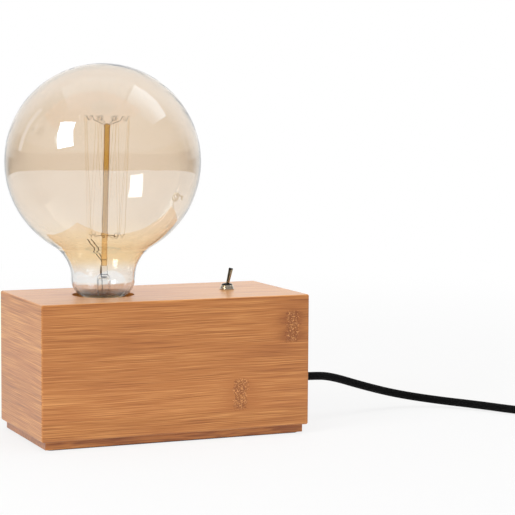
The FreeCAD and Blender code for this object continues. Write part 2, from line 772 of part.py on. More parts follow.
def stem_parts():
    """The flared glass stem with its flat press, and the rod that carries the cage."""
    press, top = above_foot(sizes.stem_press), above_foot(sizes.stem_press) + sizes.press_high
    flare, thick = sizes.flare_radius, sizes.glass_thick
    rim = sizes.seal_radius - thick
    stem = turned("glass_stem", [
        (rim, 0, -8), (flare, 6), (flare, press - 4, 4), (2.6, press - 0.6), (2.2, top), (0, top),
        (0, press - 2.2), (1.4, press - 2.2, -2.4), (flare - thick, press - 4.4),
        (flare - thick, 6, 7), (rim - thick * 1.3, 0),
    ])
    node(lean_cage(stem), "glass_stem")
    rod_low, rod_high = above_foot(sizes.rod_from), above_foot(sizes.rod_to)
    bead = above_foot(sizes.lower_hook_height)
    r = sizes.rod_radius
    rod = turned("centre_rod", [
        (0, rod_low), (r, rod_low), (r, bead - 2), (r + 0.4, bead - 1.2), (r + 0.4, bead + 1.2),
        (r, bead + 2), (r, rod_high - 1.8), (r + 0.3, rod_high - 1), (r + 0.1, rod_high - 0.2),
        (r - 0.8, rod_high + 0.6), (0, rod_high + 0.8),
    ])
    node(lean_cage(rod), "centre_rod")


def polar(radius, degrees, height):
    angle = math.radians(degrees)
    return radius * math.cos(angle), radius * math.sin(angle), height


def upper_angles():
    count = int(number(sizes.upper_hooks))
    return [number(sizes.cage_bearing) + 360 / count * (k + 0.5) for k in range(count)]


def lower_angles():
    count = int(number(sizes.upper_hooks))
    return [number(sizes.cage_bearing) + 360 / count * (k + 1) for k in range(count - 1)]


def support_wires(name, angles, profile, radius):
    """One bent wire for each angle, in the (reach, height) points of the profile."""
    wires = []
    for degrees in angles:
        edges, _ = bent_path([polar(reach, degrees, high) for reach, high in profile])
        wires.append(tube(edges, radius))
    item = made(name, Part.makeCompound(wires))
    return lean_cage(item)


def cage_parts():
    """The wires that hold the filament, the filament itself and its two leads."""
    high = number(above_foot(sizes.upper_hook_height))
    low = number(above_foot(sizes.lower_hook_height))
    up, down = number(sizes.upper_hook_reach), number(sizes.lower_hook_reach)
    hub, wire = number(sizes.rod_radius) + 0.35, number(sizes.hook_wire)
    rod_top = number(above_foot(sizes.rod_to))
    support_wires("upper_supports", upper_angles(), [
        (hub, rod_top - 0.4), (up - 5, high - 2.8), (up - 0.6, high - 2.6), (up, high - 0.6),
        (up - 1.0, high + 0.3),
    ], wire)
    support_wires("lower_supports", lower_angles(), [
        (hub + 0.1, low), (down - 4, low - 1.0), (down - 0.4, low - 0.8), (down, low + 0.6),
    ], wire)
    filament_parts(high, low, up, down)


def filament_parts(high, low, up, down):
    """A zigzag between the upper and lower hooks, from one lead to the other."""
    bearing, clear = number(sizes.cage_bearing), 0.75
    tops, feet = upper_angles(), lower_angles()
    apart_up, apart_down = math.degrees(0.5 / up), math.degrees(0.5 / down)
    lead_turn = 7.0
    points = [polar(down - 1.5, bearing + lead_turn, low - 1.5)]
    for k, degrees in enumerate(tops):
        points.append(polar(up + clear, degrees - apart_up, high - 1))
        points.append(polar(up + clear, degrees + apart_up, high - 1))
        if k < len(feet):
            points.append(polar(down + clear, feet[k] - apart_down, low + 1))
            points.append(polar(down + clear, feet[k] + apart_down, low + 1))
    points.append(polar(down - 1.5, bearing - lead_turn, low - 1.5))
    edges, _ = bent_path(points)
    lean_cage(made("filament", tube(edges, number(sizes.filament_wire))))
    lead_wires(low, down - 1.5, bearing, lead_turn)


def lead_wires(low, reach, bearing, lead_turn):
    """Two leads that rise from the press, kink and end under the filament's two ends."""
    press = number(above_foot(sizes.stem_press) + sizes.press_high)
    leads = []
    for side, out in ((1, 7.0), (-1, 7.6)):
        edges, _ = bent_path([
            polar(2.45, bearing + side * 40, press), polar(2.9, bearing + side * 30, press + 3),
            polar(out, bearing + side * 9, press + 10.5),
            polar(out + 2, bearing + side * 9, press + 11.5),
            polar(reach, bearing + side * lead_turn, low - 1.9),
        ])
        leads.append(tube(edges, number(sizes.lead_wire)))
    lean_cage(made("lead_wires", Part.makeCompound(leads)))


# ---------------------------------------------------------------- the toggle switch


def switch_body_parts():
    """The switch's fixed pieces, from the nut above the wood to the terminals below it."""
    x, skin = sizes.switch_place, sizes.switch_skin
    top = sizes.block_from + sizes.block_high
    case_top = top - skin - sizes.washer_thick
    bore, radius = sizes.bushing_bore, sizes.bushing_radius
    nut = turned("switch_dress_nut", [
        (radius, 0), (sizes.nut_radius, 0), (sizes.nut_radius, 0.5),
        (sizes.nut_radius - 0.3, 1.1, 5.5), (sizes.nut_top_radius, sizes.nut_high),
        (2.1, sizes.nut_high), (2.1, sizes.bushing_proud), (radius, sizes.bushing_proud),
    ])
    node(put(nut, x, 0, top), "switch_dress_nut")
    washer = turned("switch_washer", [
        (radius, 0), (sizes.washer_radius, 0), (sizes.washer_radius, sizes.washer_thick),
        (radius, sizes.washer_thick),
    ])
    node(put(washer, x, 0, case_top), "switch_washer")
    half_x, half_y = sizes.case_long / 2, sizes.case_wide / 2
    flange = box("bushing_flange", (x - half_x, -half_y, case_top - sizes.flange_thick),
                 (x + half_x, half_y, case_top))
    barrel = cylinder("bushing_barrel", radius, top + sizes.bushing_proud - case_top,
                      (x, 0, case_top))
    solid = fused("bushing_solid", flange, barrel)
    way = cylinder("bushing_way", bore, 20, (x, 0, case_top - 5))
    pin_hole = cross_pin("bushing_pin_hole", sizes.lever_pin_radius + 0.1, radius + 1,
                         sizes.lever_pivot)
    node(cut("switch_bushing", solid, [way, pin_hole]), "switch_bushing")
    case_low = case_top - sizes.case_high - sizes.flange_thick
    wall = sizes.case_wall
    block = box("case_block", (x - half_x, -half_y, case_low),
                (x + half_x, half_y, case_top - sizes.flange_thick))
    hollow = box("case_hollow", (x - half_x + wall, -half_y + wall, case_low + wall * 2),
                 (x + half_x - wall, half_y - wall, case_top))
    blades = terminal_blades(x, case_low)
    cased = cut("case_hollowed", block, [hollow])
    node(cut("switch_case", cased, [blades]), "switch_case")
    node(blades, "switch_terminals")


def cross_pin(name, radius, half, height):
    """A cylinder that runs along Y through the middle of the switch."""
    item = cylinder(name, radius, half * 2, (sizes.switch_place, -half, height))
    item.Placement.Rotation = FreeCAD.Rotation(Vector(1, 0, 0), -90)
    return item


def terminal_blades(x, case_low):
    """Three flat blades through the floor of the case, the middle one under the rocker's pin."""
    blades = []
    middle_top = sizes.rocker_pivot - sizes.rocker_pin_radius - 0.02
    tops = (case_low + 4.6, middle_top, case_low + 4.6)
    for name, step, top in zip(("near", "middle", "far"), (-1, 0, 1), tops):
        at = x + sizes.terminal_step * step
        blades.append(box(f"blade_{name}", (at - 0.4, -1, sizes.terminal_end),
                          (at + 0.4, 1, top)))
    return group("switch_terminals", blades)


def switch_moving_parts():
    """The lever on its ball and cross pin, and the rocker that its tail pushes over."""
    base, tip, ball = sizes.lever_base_radius, sizes.lever_tip_radius, sizes.lever_ball_radius
    waist = (ball * ball - base * base).root()
    tail = 0.65
    tail_up = (ball * ball - tail * tail).root()
    lever = turned("lever_stem", [
        (0, -sizes.lever_tail), (tail, -(sizes.lever_tail - tail)), (tail, -tail_up, ball),
        (base, waist), (tip, sizes.lever_reach - 0.25), (tip - 0.25, sizes.lever_reach),
        (0, sizes.lever_reach),
    ])
    put(lever, sizes.switch_place, 0, sizes.lever_pivot)
    turn(lever, (0, 1, 0), sizes.lever_lean)
    pin = cross_pin("lever_pin", sizes.lever_pin_radius, sizes.lever_pin_half,
                    sizes.lever_pivot)
    node(fused("switch_lever", lever, pin), "switch_lever")
    half = sizes.rocker_half
    rocker = padded("rocker_strip", "XZ_Plane", [
        (-half, 0), (0, -0.01), (half, 0), (half, 0.8), (0, 0.6), (-half, 0.8),
    ], sizes.rocker_wide, both_sides=True)
    put(rocker, sizes.switch_place, 0, sizes.rocker_pivot)
    turn(rocker, (0, 1, 0), -sizes.rocker_tilt)
    pivot = cross_pin("rocker_pin", sizes.rocker_pin_radius, sizes.rocker_wide / 2,
                      sizes.rocker_pivot)
    node(fused("switch_rocker", rocker, pivot), "switch_rocker")


# ---------------------------------------------------------------- cord, coil and plug


def strain_relief():
    """A grommet through the right panel, with a tapered sleeve round the cord."""
    cord, neck = sizes.cord_radius, sizes.relief_neck
    face = sizes.block_long / 2
    inside = face - sizes.wall
    body = new_body("strain_relief")
    sketch = outline(body, "XZ_Plane", [
        (inside - 2, cord), (inside - 2, sizes.relief_lip), (inside, sizes.relief_lip),
        (inside, neck), (face, neck), (face, sizes.relief_flange),
        (face + 1.5, sizes.relief_flange), (face + 2.2, neck), (sizes.relief_end, 3.5),
        (sizes.relief_end, cord),
    ])
    spin = body.newObject("PartDesign::Revolution", "turned")
    spin.Profile = sketch
    spin.ReferenceAxis = (sketch, ["H_Axis"])
    spin.Angle = 360
    node(put(body, z=sizes.cord_height), "strain_relief")


def inner_wiring():
    """The cord through the relief, and the three wires inside the block."""
    start, end = number(sizes.inner_cord_to), number(sizes.relief_end)
    high = number(sizes.cord_height)
    sheath = [Part.LineSegment(Vector(start, 0, high), Vector(end, 0, high)).toShape()]
    made("inner_cord", tube(sheath, number(sizes.cord_radius)))
    for name, route in (("live_wire", LIVE_WIRE), ("neutral_wire", NEUTRAL_WIRE),
                        ("switched_wire", SWITCHED_WIRE)):
        edges, radii = bent_path(route)
        print(name, "radii", [round(r, 1) for r in radii])
        made(name, tube(edges, number(sizes.core_radius)))


class Coil:
    """Two layers of turns: in along the floor, up a layer where the spiral reverses, out."""

    def __init__(self):
        self.centre = Vector(number(sizes.coil_x), number(sizes.coil_y), 0)
        self.rate = number(sizes.coil_pitch) / (2 * math.pi)
        self.inner, self.rise = number(sizes.coil_inner), number(sizes.coil_rise)
        self.low = number(sizes.coil_height)
        self.half = math.pi * number(sizes.coil_turns)
        self.middle = math.radians(number(sizes.coil_first)) + self.half

    def radius(self, away):
        """The radius at an angle away from the reversal, rounded off in its half turn."""
        span = abs(away)
        if span >= math.pi / 2:
            return self.inner + self.rate * span
        return self.inner + self.rate * (span * span / math.pi + math.pi / 4)

    def point(self, away):
        angle, radius = self.middle + away, self.radius(away)
        climb = 0.5 + 0.5 * math.sin(max(-math.pi / 2, min(math.pi / 2, away)))
        out = Vector(math.cos(angle), math.sin(angle), 0) * radius
        return self.centre + out + Vector(0, 0, self.low + self.rise * climb)

    def heading(self, away):
        """The unit direction of travel, from two points close by."""
        small = 1e-5
        ahead = min(away + small, self.half)
        behind = max(away - small, -self.half)
        return (self.point(ahead) - self.point(behind)).normalize()

    def ends(self):
        """Where the coil's straight ends begin and finish, and their directions."""
        straight = 2 * number(sizes.cord_radius)
        first, last = self.heading(-self.half), self.heading(self.half)
        start = self.point(-self.half) - first * straight
        finish = self.point(self.half) + last * straight
        return start, first, finish, last

    def edges(self):
        quarters = int(self.half / (math.pi / 2))
        stops = [-self.half] + [k * math.pi / 2 for k in range(-quarters, quarters + 1)]
        stops.append(self.half)
        start, _, finish, _ = self.ends()
        made_edges = [Part.LineSegment(start, self.point(-self.half)).toShape()]
        for a, b in zip(stops, stops[1:]):
            made_edges += biarc(self.point(a), self.heading(a), self.point(b), self.heading(b))
        made_edges.append(Part.LineSegment(self.point(self.half), finish).toShape())
        return made_edges

    def least_gap(self):
        """The smallest gap between turns, measured on points along the coil."""
        count = 60 * int(self.half / math.pi * 2)
        spots = [self.point(-self.half + 2 * self.half * i / count) for i in range(count + 1)]
        apart = int(count * math.pi / (2 * self.half) / 2)
        least = min(
            (spots[i] - spots[j]).Length
            for i in range(len(spots)) for j in range(i + apart, len(spots))
        )
        return least - 2 * number(sizes.cord_radius)


def cord_parts():
    """The free cord: lead, coil and tail, end to end."""
    radius = number(sizes.cord_radius)
    coil = Coil()
    start, heading, finish, leaving = coil.ends()
    floor = start - heading * CORD_FLOOR_BEFORE_COIL
    floor.z = CORD_FLOOR_HEIGHT
    level = start - heading * CORD_LEVEL_BEFORE_COIL
    lead, radii = bent_path(CORD_LEAD + [tuple(floor), tuple(level), tuple(start)])
    print("cord_lead radii", [round(r, 1) for r in radii])
    plug, plug_heading = plug_entry()
    tail_points = [
        tuple(finish), tuple(finish + leaving * TAIL_LEVEL), TAIL_MIDDLE,
        tuple(plug - plug_heading * TAIL_LEVEL), tuple(plug),
    ]
    tail, radii = bent_path(tail_points)
    print("cord_tail radii", [round(r, 1) for r in radii])
    print(f"coil least gap {coil.least_gap():.2f} mm")
    total = number(sizes.relief_end) - number(sizes.block_long) / 2
    for name, edges in (("cord_lead", lead), ("cord_coil", coil.edges()), ("cord_tail", tail)):
        solid = tube(edges, radius)
        total += report_tube(name, edges, solid, radius)
        made(name, solid)
    total += number(sizes.plug_relief_long)
    print(f"cord from the block to the plug: {total:.1f} mm")
    coil_tie(coil)


def coil_tie(coil):
    """A thin band round the bundle of turns."""
    angle = math.radians(number(sizes.tie_angle))
    reach = [
        coil.radius(away) for away in
        (angle - coil.middle + 2 * math.pi * k for k in range(-12, 13))
        if abs(away) < coil.half
    ]
    clear, thick = number(sizes.cord_radius) + 0.15, number(sizes.tie_thick)
    wide = number(sizes.tie_wide)
    bow = wide * wide / (8 * min(reach))
    low = Vector(min(reach) - bow - clear, 0, coil.low - clear + 0.1)
    high = Vector(max(reach) + clear + 0.2, 0, coil.low + coil.rise + clear)
    inside = band_block(low, high, wide, 2.2)
    grown = Vector(thick, 0, thick)
    outside = band_block(low - grown, high + grown, wide, 2.2 + thick)
    made("coil_tie", outside.cut(inside), coil.centre, math.degrees(angle))


def band_block(low, high, wide, corner):
    """An upright block with four rounded edges that run across the band."""
    size = high - low
    block = Part.makeBox(size.x, wide, size.z, Vector(low.x, -wide / 2, low.z))
    along = [e for e in block.Edges if abs(e.tangentAt(e.FirstParameter).y) > 0.9]
    return block.makeFillet(corner, along)


def plug_entry():
    """Where the cord enters the plug's own strain relief, and which way the plug points."""
    angle = math.radians(number(sizes.plug_heading))
    at = Vector(number(sizes.plug_x), number(sizes.plug_y), number(sizes.plug_thick) / 2)
    return at, Vector(math.cos(angle), math.sin(angle), 0)


def put_on_plug(item):
    """A plug piece is drawn with the cord entry at its origin and its pins along +Y."""
    put(item, sizes.plug_x, sizes.plug_y, sizes.plug_thick / 2)
    return turn(item, (0, 0, 1), sizes.plug_heading - 90)


def spun_along_y(name, corners):
    """A body of revolution about its own Y axis: corners are (radius, distance along)."""
    body = new_body(name)
    sketch = outline(body, "XY_Plane", corners)
    spin = body.newObject("PartDesign::Revolution", "turned")
    spin.Profile = sketch
    spin.ReferenceAxis = (sketch, ["V_Axis"])
    spin.Angle = 360
    return body


def plug_parts():
    """A flat two-pin plug with a tapered sleeve on the cord."""
    relief = sizes.plug_relief_long
    face = relief + sizes.plug_long
    cord = sizes.cord_radius
    sleeve = spun_along_y("plug_strain_relief", [
        (0, 0), (cord + 0.6, 0), (cord + 2.0, relief), (0, relief),
    ])
    node(put_on_plug(sleeve), "plug_strain_relief")
    half = sizes.plug_half
    solid = padded("plug_solid", "XY_Plane", [
        (-5.5, relief), (5.5, relief), (half, relief + 11), (half, face - 4),
        (half - 1.5, face), (-(half - 1.5), face), (-half, face - 4), (-half, relief + 11),
    ], sizes.plug_thick, both_sides=True)
    doc.recompute()
    rims = [
        f"Edge{i + 1}" for i, edge in enumerate(solid.Shape.Edges)
        if abs(edge.tangentAt(edge.FirstParameter).z) < 0.5
    ]
    rounded(solid, rims, 2.0)
    root = face - sizes.pin_rooted
    bores = []
    for i, side in enumerate((-1, 1)):
        bore = doc.addObject("Part::Cylinder", f"pin_bore_{i}")
        bind(bore, "Radius", sizes.pin_core)
        bind(bore, "Height", sizes.pin_rooted + 5)
        bore.Placement.Rotation = FreeCAD.Rotation(Vector(1, 0, 0), -90)
        bores.append(put(bore, sizes.pin_step / 2 * side, root, 0))
    node(put_on_plug(cut("plug_body", solid, bores)), "plug_body")
    bare_from = face + sizes.pin_long - sizes.pin_bare
    tip = face + sizes.pin_long
    core, radius = sizes.pin_core, sizes.pin_radius
    pins, sleeves = [], []
    for i, side in enumerate((-1, 1)):
        pin = spun_along_y(f"pin_{i}", [
            (0, root), (core, root), (core, bare_from), (radius, bare_from),
            (radius, tip - 1.2), (radius - 0.9, tip), (0, tip),
        ])
        pins.append(put(pin, x=sizes.pin_step / 2 * side))
        cover = spun_along_y(f"pin_sleeve_{i}", [
            (core, face), (sizes.sleeve_radius, face), (sizes.sleeve_radius, bare_from),
            (core, bare_from),
        ])
        sleeves.append(put(cover, x=sizes.pin_step / 2 * side))
    node(put_on_plug(group("plug_pins", pins)), "plug_pins")
    node(put_on_plug(group("plug_pin_sleeves", sleeves)), "plug_pin_sleeves")


# ---------------------------------------------------------------- checks and files


def check_model():
    """Stop on any failed object or any sub-part that isn't a valid solid shape."""
    for item in doc.Objects:
        state = set(item.State) & {"Invalid", "Error"}
        if state:
            raise RuntimeError(f"{item.Label} is {', '.join(state)}")
    for item in SUB_PARTS:
        shape = item.Shape
        if shape.isNull() or not shape.isValid() or not shape.Solids:
            raise RuntimeError(f"{item.Label} has no valid solid")
        if shape.Volume <= 0:
            raise RuntimeError(f"{item.Label} has no volume")


def write_files():
    os.makedirs("parts", exist_ok=True)
    for item in SUB_PARTS:
        item.Shape.exportStep(f"parts/{item.Label}.step")
    print(f"{len(SUB_PARTS)} sub-parts written")


sizes = Sizes()
fill_sheet()
panels()
corner_blocks()
base_parts()
holder_bracket()
holder_parts()
holder_contacts()
envelope()
cap_parts()
stem_parts()
cage_parts()
switch_body_parts()
switch_moving_parts()
strain_relief()
inner_wiring()
cord_parts()
plug_parts()
doc.recompute()
check_model()
write_files()
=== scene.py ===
import json
import math

import bmesh
import bpy
from mathutils import Matrix, Vector


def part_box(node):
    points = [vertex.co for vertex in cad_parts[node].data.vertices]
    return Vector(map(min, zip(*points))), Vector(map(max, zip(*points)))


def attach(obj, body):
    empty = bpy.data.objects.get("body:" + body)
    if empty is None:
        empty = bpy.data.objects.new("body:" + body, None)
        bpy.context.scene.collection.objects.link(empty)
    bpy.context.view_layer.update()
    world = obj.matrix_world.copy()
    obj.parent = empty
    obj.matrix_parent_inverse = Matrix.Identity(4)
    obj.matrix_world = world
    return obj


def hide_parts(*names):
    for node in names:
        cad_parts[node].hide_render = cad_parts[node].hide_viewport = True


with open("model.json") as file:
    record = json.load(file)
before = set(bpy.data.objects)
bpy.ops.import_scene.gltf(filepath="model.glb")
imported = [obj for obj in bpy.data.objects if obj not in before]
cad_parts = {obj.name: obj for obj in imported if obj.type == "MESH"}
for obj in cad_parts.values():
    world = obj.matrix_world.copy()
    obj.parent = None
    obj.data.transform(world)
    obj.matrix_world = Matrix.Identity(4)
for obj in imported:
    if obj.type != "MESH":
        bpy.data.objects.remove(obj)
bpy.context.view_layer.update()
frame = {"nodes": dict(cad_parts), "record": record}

NODES = frame["nodes"]
MM = 0.001
X, Z = Vector((1, 0, 0)), Vector((0, 0, 1))
WHITE = (1, 1, 1)
BULB_X, GLOBE_HIGH = -35.0, 175.9
GLOBE_MIDDLE = Vector((BULB_X, 0, GLOBE_HIGH)) * MM


def add(name, data):
    """A new object in the scene."""
    obj = bpy.data.objects.new(name, data)
    bpy.context.scene.collection.objects.link(obj)
    return obj


# ---------------------------------------- camera

CAMERA_AT = Vector((-0.435687, -1.162427, 0.229930))
CAMERA_YAW, CAMERA_PITCH, CAMERA_ROLL = 0.4124, 0.0933, 0.0068
CAMERA_LENS, SENSOR = 134.47, 36.0
# Level directions: to the camera's right, and straight ahead of it.
ASIDE = Vector((math.cos(CAMERA_YAW), -math.sin(CAMERA_YAW), 0))
AHEAD = Vector((math.sin(CAMERA_YAW), math.cos(CAMERA_YAW), 0))


def make_camera():
    """The camera stands where the photograph was taken from."""
    forward = Vector((
        math.sin(CAMERA_YAW) * math.cos(CAMERA_PITCH),
        math.cos(CAMERA_YAW) * math.cos(CAMERA_PITCH),
        -math.sin(CAMERA_PITCH),
    ))
    upright = ASIDE.cross(forward)
    right = ASIDE * math.cos(CAMERA_ROLL) + upright * math.sin(CAMERA_ROLL)
    up = upright * math.cos(CAMERA_ROLL) - ASIDE * math.sin(CAMERA_ROLL)
    data = bpy.data.cameras.new("camera")
    data.lens, data.sensor_width = CAMERA_LENS, SENSOR
    data.clip_start, data.clip_end = 0.01, 100
    camera = add("camera", data)
    turned = Matrix((right, up, -forward)).transposed().to_4x4()
    camera.matrix_world = Matrix.Translation(CAMERA_AT) @ turned
    bpy.context.scene.camera = camera


make_camera()

# ---------------------------------------- shader trees


def rgb(red, green, blue):
    """A colour as a screen shows it, 0 to 255, in the linear numbers a shader takes."""
    shares = [c / 255 for c in (red, green, blue)]
    return tuple(
        s / 12.92 if s <= 0.04045 else ((s + 0.055) / 1.055) ** 2.4 for s in shares
    )


class Num:
    """A number in a node tree, which the usual operators combine."""

    def __init__(self, shade, socket):
        self.shade, self.socket = shade, socket

    def __add__(self, other):
        return self.shade.math("ADD", self, other)

    def __sub__(self, other):
        return self.shade.math("SUBTRACT", self, other)

    def __rsub__(self, other):
        return self.shade.math("SUBTRACT", other, self)

    def __mul__(self, other):
        return self.shade.math("MULTIPLY", self, other)

    def __truediv__(self, other):
        return self.shade.math("DIVIDE", self, other)

    def __pow__(self, other):
        return self.shade.math("POWER", self, other)

    def __abs__(self):
        return self.shade.math("ABSOLUTE", self)

    __radd__, __rmul__ = __add__, __mul__


class Shade:
    """A node tree that is written in short calls."""

    def __init__(self, owner, output="OutputMaterial"):
        owner.use_nodes = True
        self.owner, self.tree = owner, owner.node_tree
        self.tree.nodes.clear()
        self.out = self.tree.nodes.new("ShaderNode" + output)

    def feed(self, socket, value):
        """Link a socket to a number or an output, or set its own value."""
        if isinstance(value, Num):
            value = value.socket
        if isinstance(value, bpy.types.NodeSocket):
            self.tree.links.new(value, socket)
        elif socket.type == "RGBA":
            socket.default_value = (*value[:3], 1)
        else:
            socket.default_value = value

    def node(self, kind, inputs=None, **props):
        made = self.tree.nodes.new("ShaderNode" + kind)
        for name, value in props.items():
            setattr(made, name, value)
        for name, value in (inputs or {}).items():
            self.feed(made.inputs[name], value)
        return made

    def math(self, operation, *values):
        made = self.node("Math", dict(enumerate(values)), operation=operation)
        return Num(self, made.outputs[0])

    def split(self, vector):
        made = self.node("SeparateXYZ", {0: vector})
        return [Num(self, s) for s in made.outputs]

    def spot(self):
        """The place on the surface, in millimetres of the row frame."""
        at = self.node("TexCoord").outputs["Object"]
        scaled = self.node("VectorMath", {0: at, "Scale": 1 / MM}, operation="SCALE")
        return self.split(scaled.outputs[0])

    def vector(self, x=0.0, y=0.0, z=0.0):
        return self.node("CombineXYZ", {0: x, 1: y, 2: z}).outputs[0]

    def noise(self, at, scale=1.0, detail=2.0, rough=0.5, twist=0.0):
        made = self.node("TexNoise", {
            "Vector": at, "Scale": scale, "Detail": detail, "Roughness": rough,
            "Distortion": twist,
        })
        return Num(self, made.outputs["Fac"])

    def random(self, at):
        """Three even random numbers for each whole value of a vector."""
        made = self.node("TexWhiteNoise", {"Vector": at}, noise_dimensions="3D")
        parts = self.node("SeparateColor", {0: made.outputs["Color"]})
        return [Num(self, s) for s in parts.outputs[:3]]

    def cells(self, at, scale):
        made = self.node("TexVoronoi", {"Vector": at, "Scale": scale})
        return Num(self, made.outputs["Distance"])

    def facing(self, blend):
        """0 where a surface faces the viewer, 1 where it is seen edge on."""
        return Num(self, self.node("LayerWeight", {"Blend": blend}).outputs["Facing"])

    def ray(self, kind):
        return Num(self, self.node("LightPath").outputs[kind])

    def ramp(self, value, low, high, to_low=0.0, to_high=1.0):
        """A smooth step from to_low to to_high as value goes from low to high."""
        made = self.node("MapRange", {
            0: value, 1: low, 2: high, 3: to_low, 4: to_high,
        }, interpolation_type="SMOOTHSTEP")
        return Num(self, made.outputs[0])

    def mix(self, share, first, second):
        made = self.node("Mix", data_type="RGBA")
        self.feed(made.inputs[0], share)
        self.feed(made.inputs[6], first)
        self.feed(made.inputs[7], second)
        return made.outputs[2]

    def bump(self, height, distance, strength=1.0):
        return self.node("Bump", {
            "Height": height, "Distance": distance * MM, "Strength": strength,
        }).outputs[0]

    def principled(self, **inputs):
        made = self.node("BsdfPrincipled")
        for name, value in inputs.items():
            self.feed(made.inputs[name.replace("_", " ")], value)
        return made.outputs[0]

    def glow(self, strength):
        return self.node("Emission", {"Color": WHITE, "Strength": strength}).outputs[0]

    def clear(self, colour):
        return self.node("BsdfTransparent", {"Color": colour}).outputs[0]

    def blend(self, share, first, second):
        return self.node("MixShader", {0: share, 1: first, 2: second}).outputs[0]

    def finish(self, shader):
        self.tree.links.new(shader, self.out.inputs["Surface"])
        return self.owner


def new_shade(name):
    return Shade(bpy.data.materials.new(name))


# ---------------------------------------- bamboo

STRIP_WIDE, STRIP_FROM = 21.1, 17.9
BAMBOO_DARK, BAMBOO_MID = rgb(140, 76, 28), rgb(187, 118, 56)
BAMBOO_LIGHT, BAMBOO_WARM = rgb(224, 162, 94), rgb(206, 122, 66)
# Each strip's grain comes from a place up to this far along the cane.
STRIP_SHIFT = 900
# The grain's layers, broadest first: rates along it, across it and into the board per
# millimetre, octaves, and weight in the tone.
GRAIN = (
    (0.013, 0.15, 0.02, 3, 0.55), (0.016, 0.62, 0.3, 3, 0.40),
    (0.019, 2.0, 0.6, 2, 1.9), (0.05, 5.2, 1.0, 2, 0.7),
)
# A knuckle: how far its line wobbles, its band, and its shadow's reach along the grain.
WOBBLE, BAND, HALO = 11, (2.6, 5.4), (2.0, 17.0)
MID_TONE, STRIP_CONTRAST, DASH_DARK, JOINT_DARK, SPECK_DARK = 0.50, 0.16, 0.16, 0.14, 1.3


def knuckle(shade, seed, u, v, fine, streak, at, middle, own, dark):
    """A knuckle's dark specks, its shadow along the grain and the pale grit between specks.

    It is at a place along its own strip, whose middle is given, and own is 0 off that strip.
    """
    wobble = shade.noise(shade.vector(u * 0.2, v * 0.55, seed + at), 1.0, 3, 0.7)
    side, away = abs(v - middle), abs(u - at + (wobble - 0.5) * WOBBLE)
    half = STRIP_WIDE / 2
    inside = shade.ramp(side, half - 2.4, half + 0.4, 1.0, 0.0) * own
    band = shade.ramp(away, *BAND, 1.0, 0.0) * inside
    halo = shade.ramp(away, *HALO, 1.0, 0.0) * inside
    grit = shade.noise(shade.vector(u * 0.80, v * 1.15, seed + at), 1.0, 2, 0.6, 1.6)
    spill = shade.ramp(fine, 0.44, 0.58) * 0.9 + shade.ramp(streak, 0.35, 0.65) * 0.3
    specks = shade.ramp(grit, 0.50, 0.60) * band
    shadow = halo * spill * dark + band * 0.18
    return specks, shadow, band * shade.ramp(grit, 0.48, 0.38, 0.0, 1.1)


def bamboo(name, along, across, seed, knuckles=(), strip_from=STRIP_FROM, polish=0.35,
           pale=0.0):
    """Pressed bamboo: strips side by side, streaked along the grain, with a few knuckles.

    along and across are 0, 1 or 2 for X, Y or Z. A knuckle is (place along, strip number,
    how far it darkens its surroundings). pale lifts the whole board's tone, or lowers it
    where negative; on the top and left boards its lift is painted light, for the light and
    sheen that fall on them.
    """
    shade = new_shade(name)
    place = shade.spot()
    u, v, w = place[along], place[across], place[3 - along - across]
    strip = shade.math("FLOOR", (v - strip_from) / STRIP_WIDE)
    tone, shift, warm = shade.random(shade.vector(strip, seed, 0.5))
    run = u + shift * STRIP_SHIFT
    wander = shade.noise(shade.vector(run * 0.011, v * 0.03, seed))
    lane = v + (wander - 0.5) * 3
    layers = [
        shade.noise(shade.vector(run * lengthways, lane * sideways, w * inward + seed),
                    1.0, octaves, 0.6)
        for lengthways, sideways, inward, octaves, _ in GRAIN
    ]
    streak, fine = layers[1:3]
    dash = shade.noise(shade.vector(run * 0.03, lane * 2.6, w * 0.7 + seed + 7), 1.0, 1)
    dashes = shade.ramp(dash, 0.60, 0.76)
    # pale is painted light on the top and left boards, which are made paler for the light and
    # sheen that fall on them.
    level = MID_TONE + pale + (tone - 0.5) * STRIP_CONTRAST
    for layer, row in zip(layers, GRAIN):
        level = level + (layer - 0.5) * row[-1]
    level = level - dashes * DASH_DARK
    specks, shadow = 0.0, 0.0
    for at, number, dark in knuckles:
        own = shade.math("COMPARE", strip, float(number), 0.5)
        middle = strip_from + STRIP_WIDE * (number + 0.5)
        spots, dim, grit = knuckle(shade, seed, u, v, fine, streak, at, middle, own, dark)
        specks, shadow, level = spots + specks, dim + shadow, level + grit
    level = level - shadow - specks * SPECK_DARK
    gap = (v - strip_from) / STRIP_WIDE - strip
    level = level - shade.ramp(abs(gap - 0.5), 0.489, 0.5) * JOINT_DARK
    light = shade.mix(shade.ramp(level, 0.0, 0.52), BAMBOO_DARK, BAMBOO_MID)
    colour = shade.mix(shade.ramp(level, 0.48, 1.05), light, BAMBOO_LIGHT)
    height = streak * 0.4 + fine * 0.5 - specks * 1.6 - dashes * 0.6
    return shade.finish(shade.principled(
        Base_Color=shade.mix(warm * 0.12, colour, BAMBOO_WARM),
        Roughness=0.36 + fine * 0.16 + dashes * 0.1, IOR=1.5, Specular_IOR_Level=0.5,
        Normal=shade.bump(height, 0.05), Coat_Weight=polish, Coat_Roughness=0.25,
    ))


# ---------------------------------------- metal, plastic and cloth


def metal(name, colour, rough, worn, tint=None):
    """Bare or plated metal with fine rubbing marks and uneven polish, tinted in clouds."""
    shade = new_shade(name)
    x, y, z = shade.spot()
    cloud = shade.noise(shade.vector(x, y, z), 0.35, 3, 0.6)
    rubbed = shade.noise(shade.vector(x * 0.6, y * 0.6, z * 3), 1.8, 3, 0.6)
    darker = tint or [c * 0.62 for c in colour]
    return shade.finish(shade.principled(
        Base_Color=shade.mix(shade.ramp(cloud, 0.35, 0.7) * worn * 2, colour, darker),
        Metallic=1.0, Roughness=rough + (rubbed - 0.4) * worn,
        Normal=shade.bump(rubbed, 0.02, 0.4),
    ))


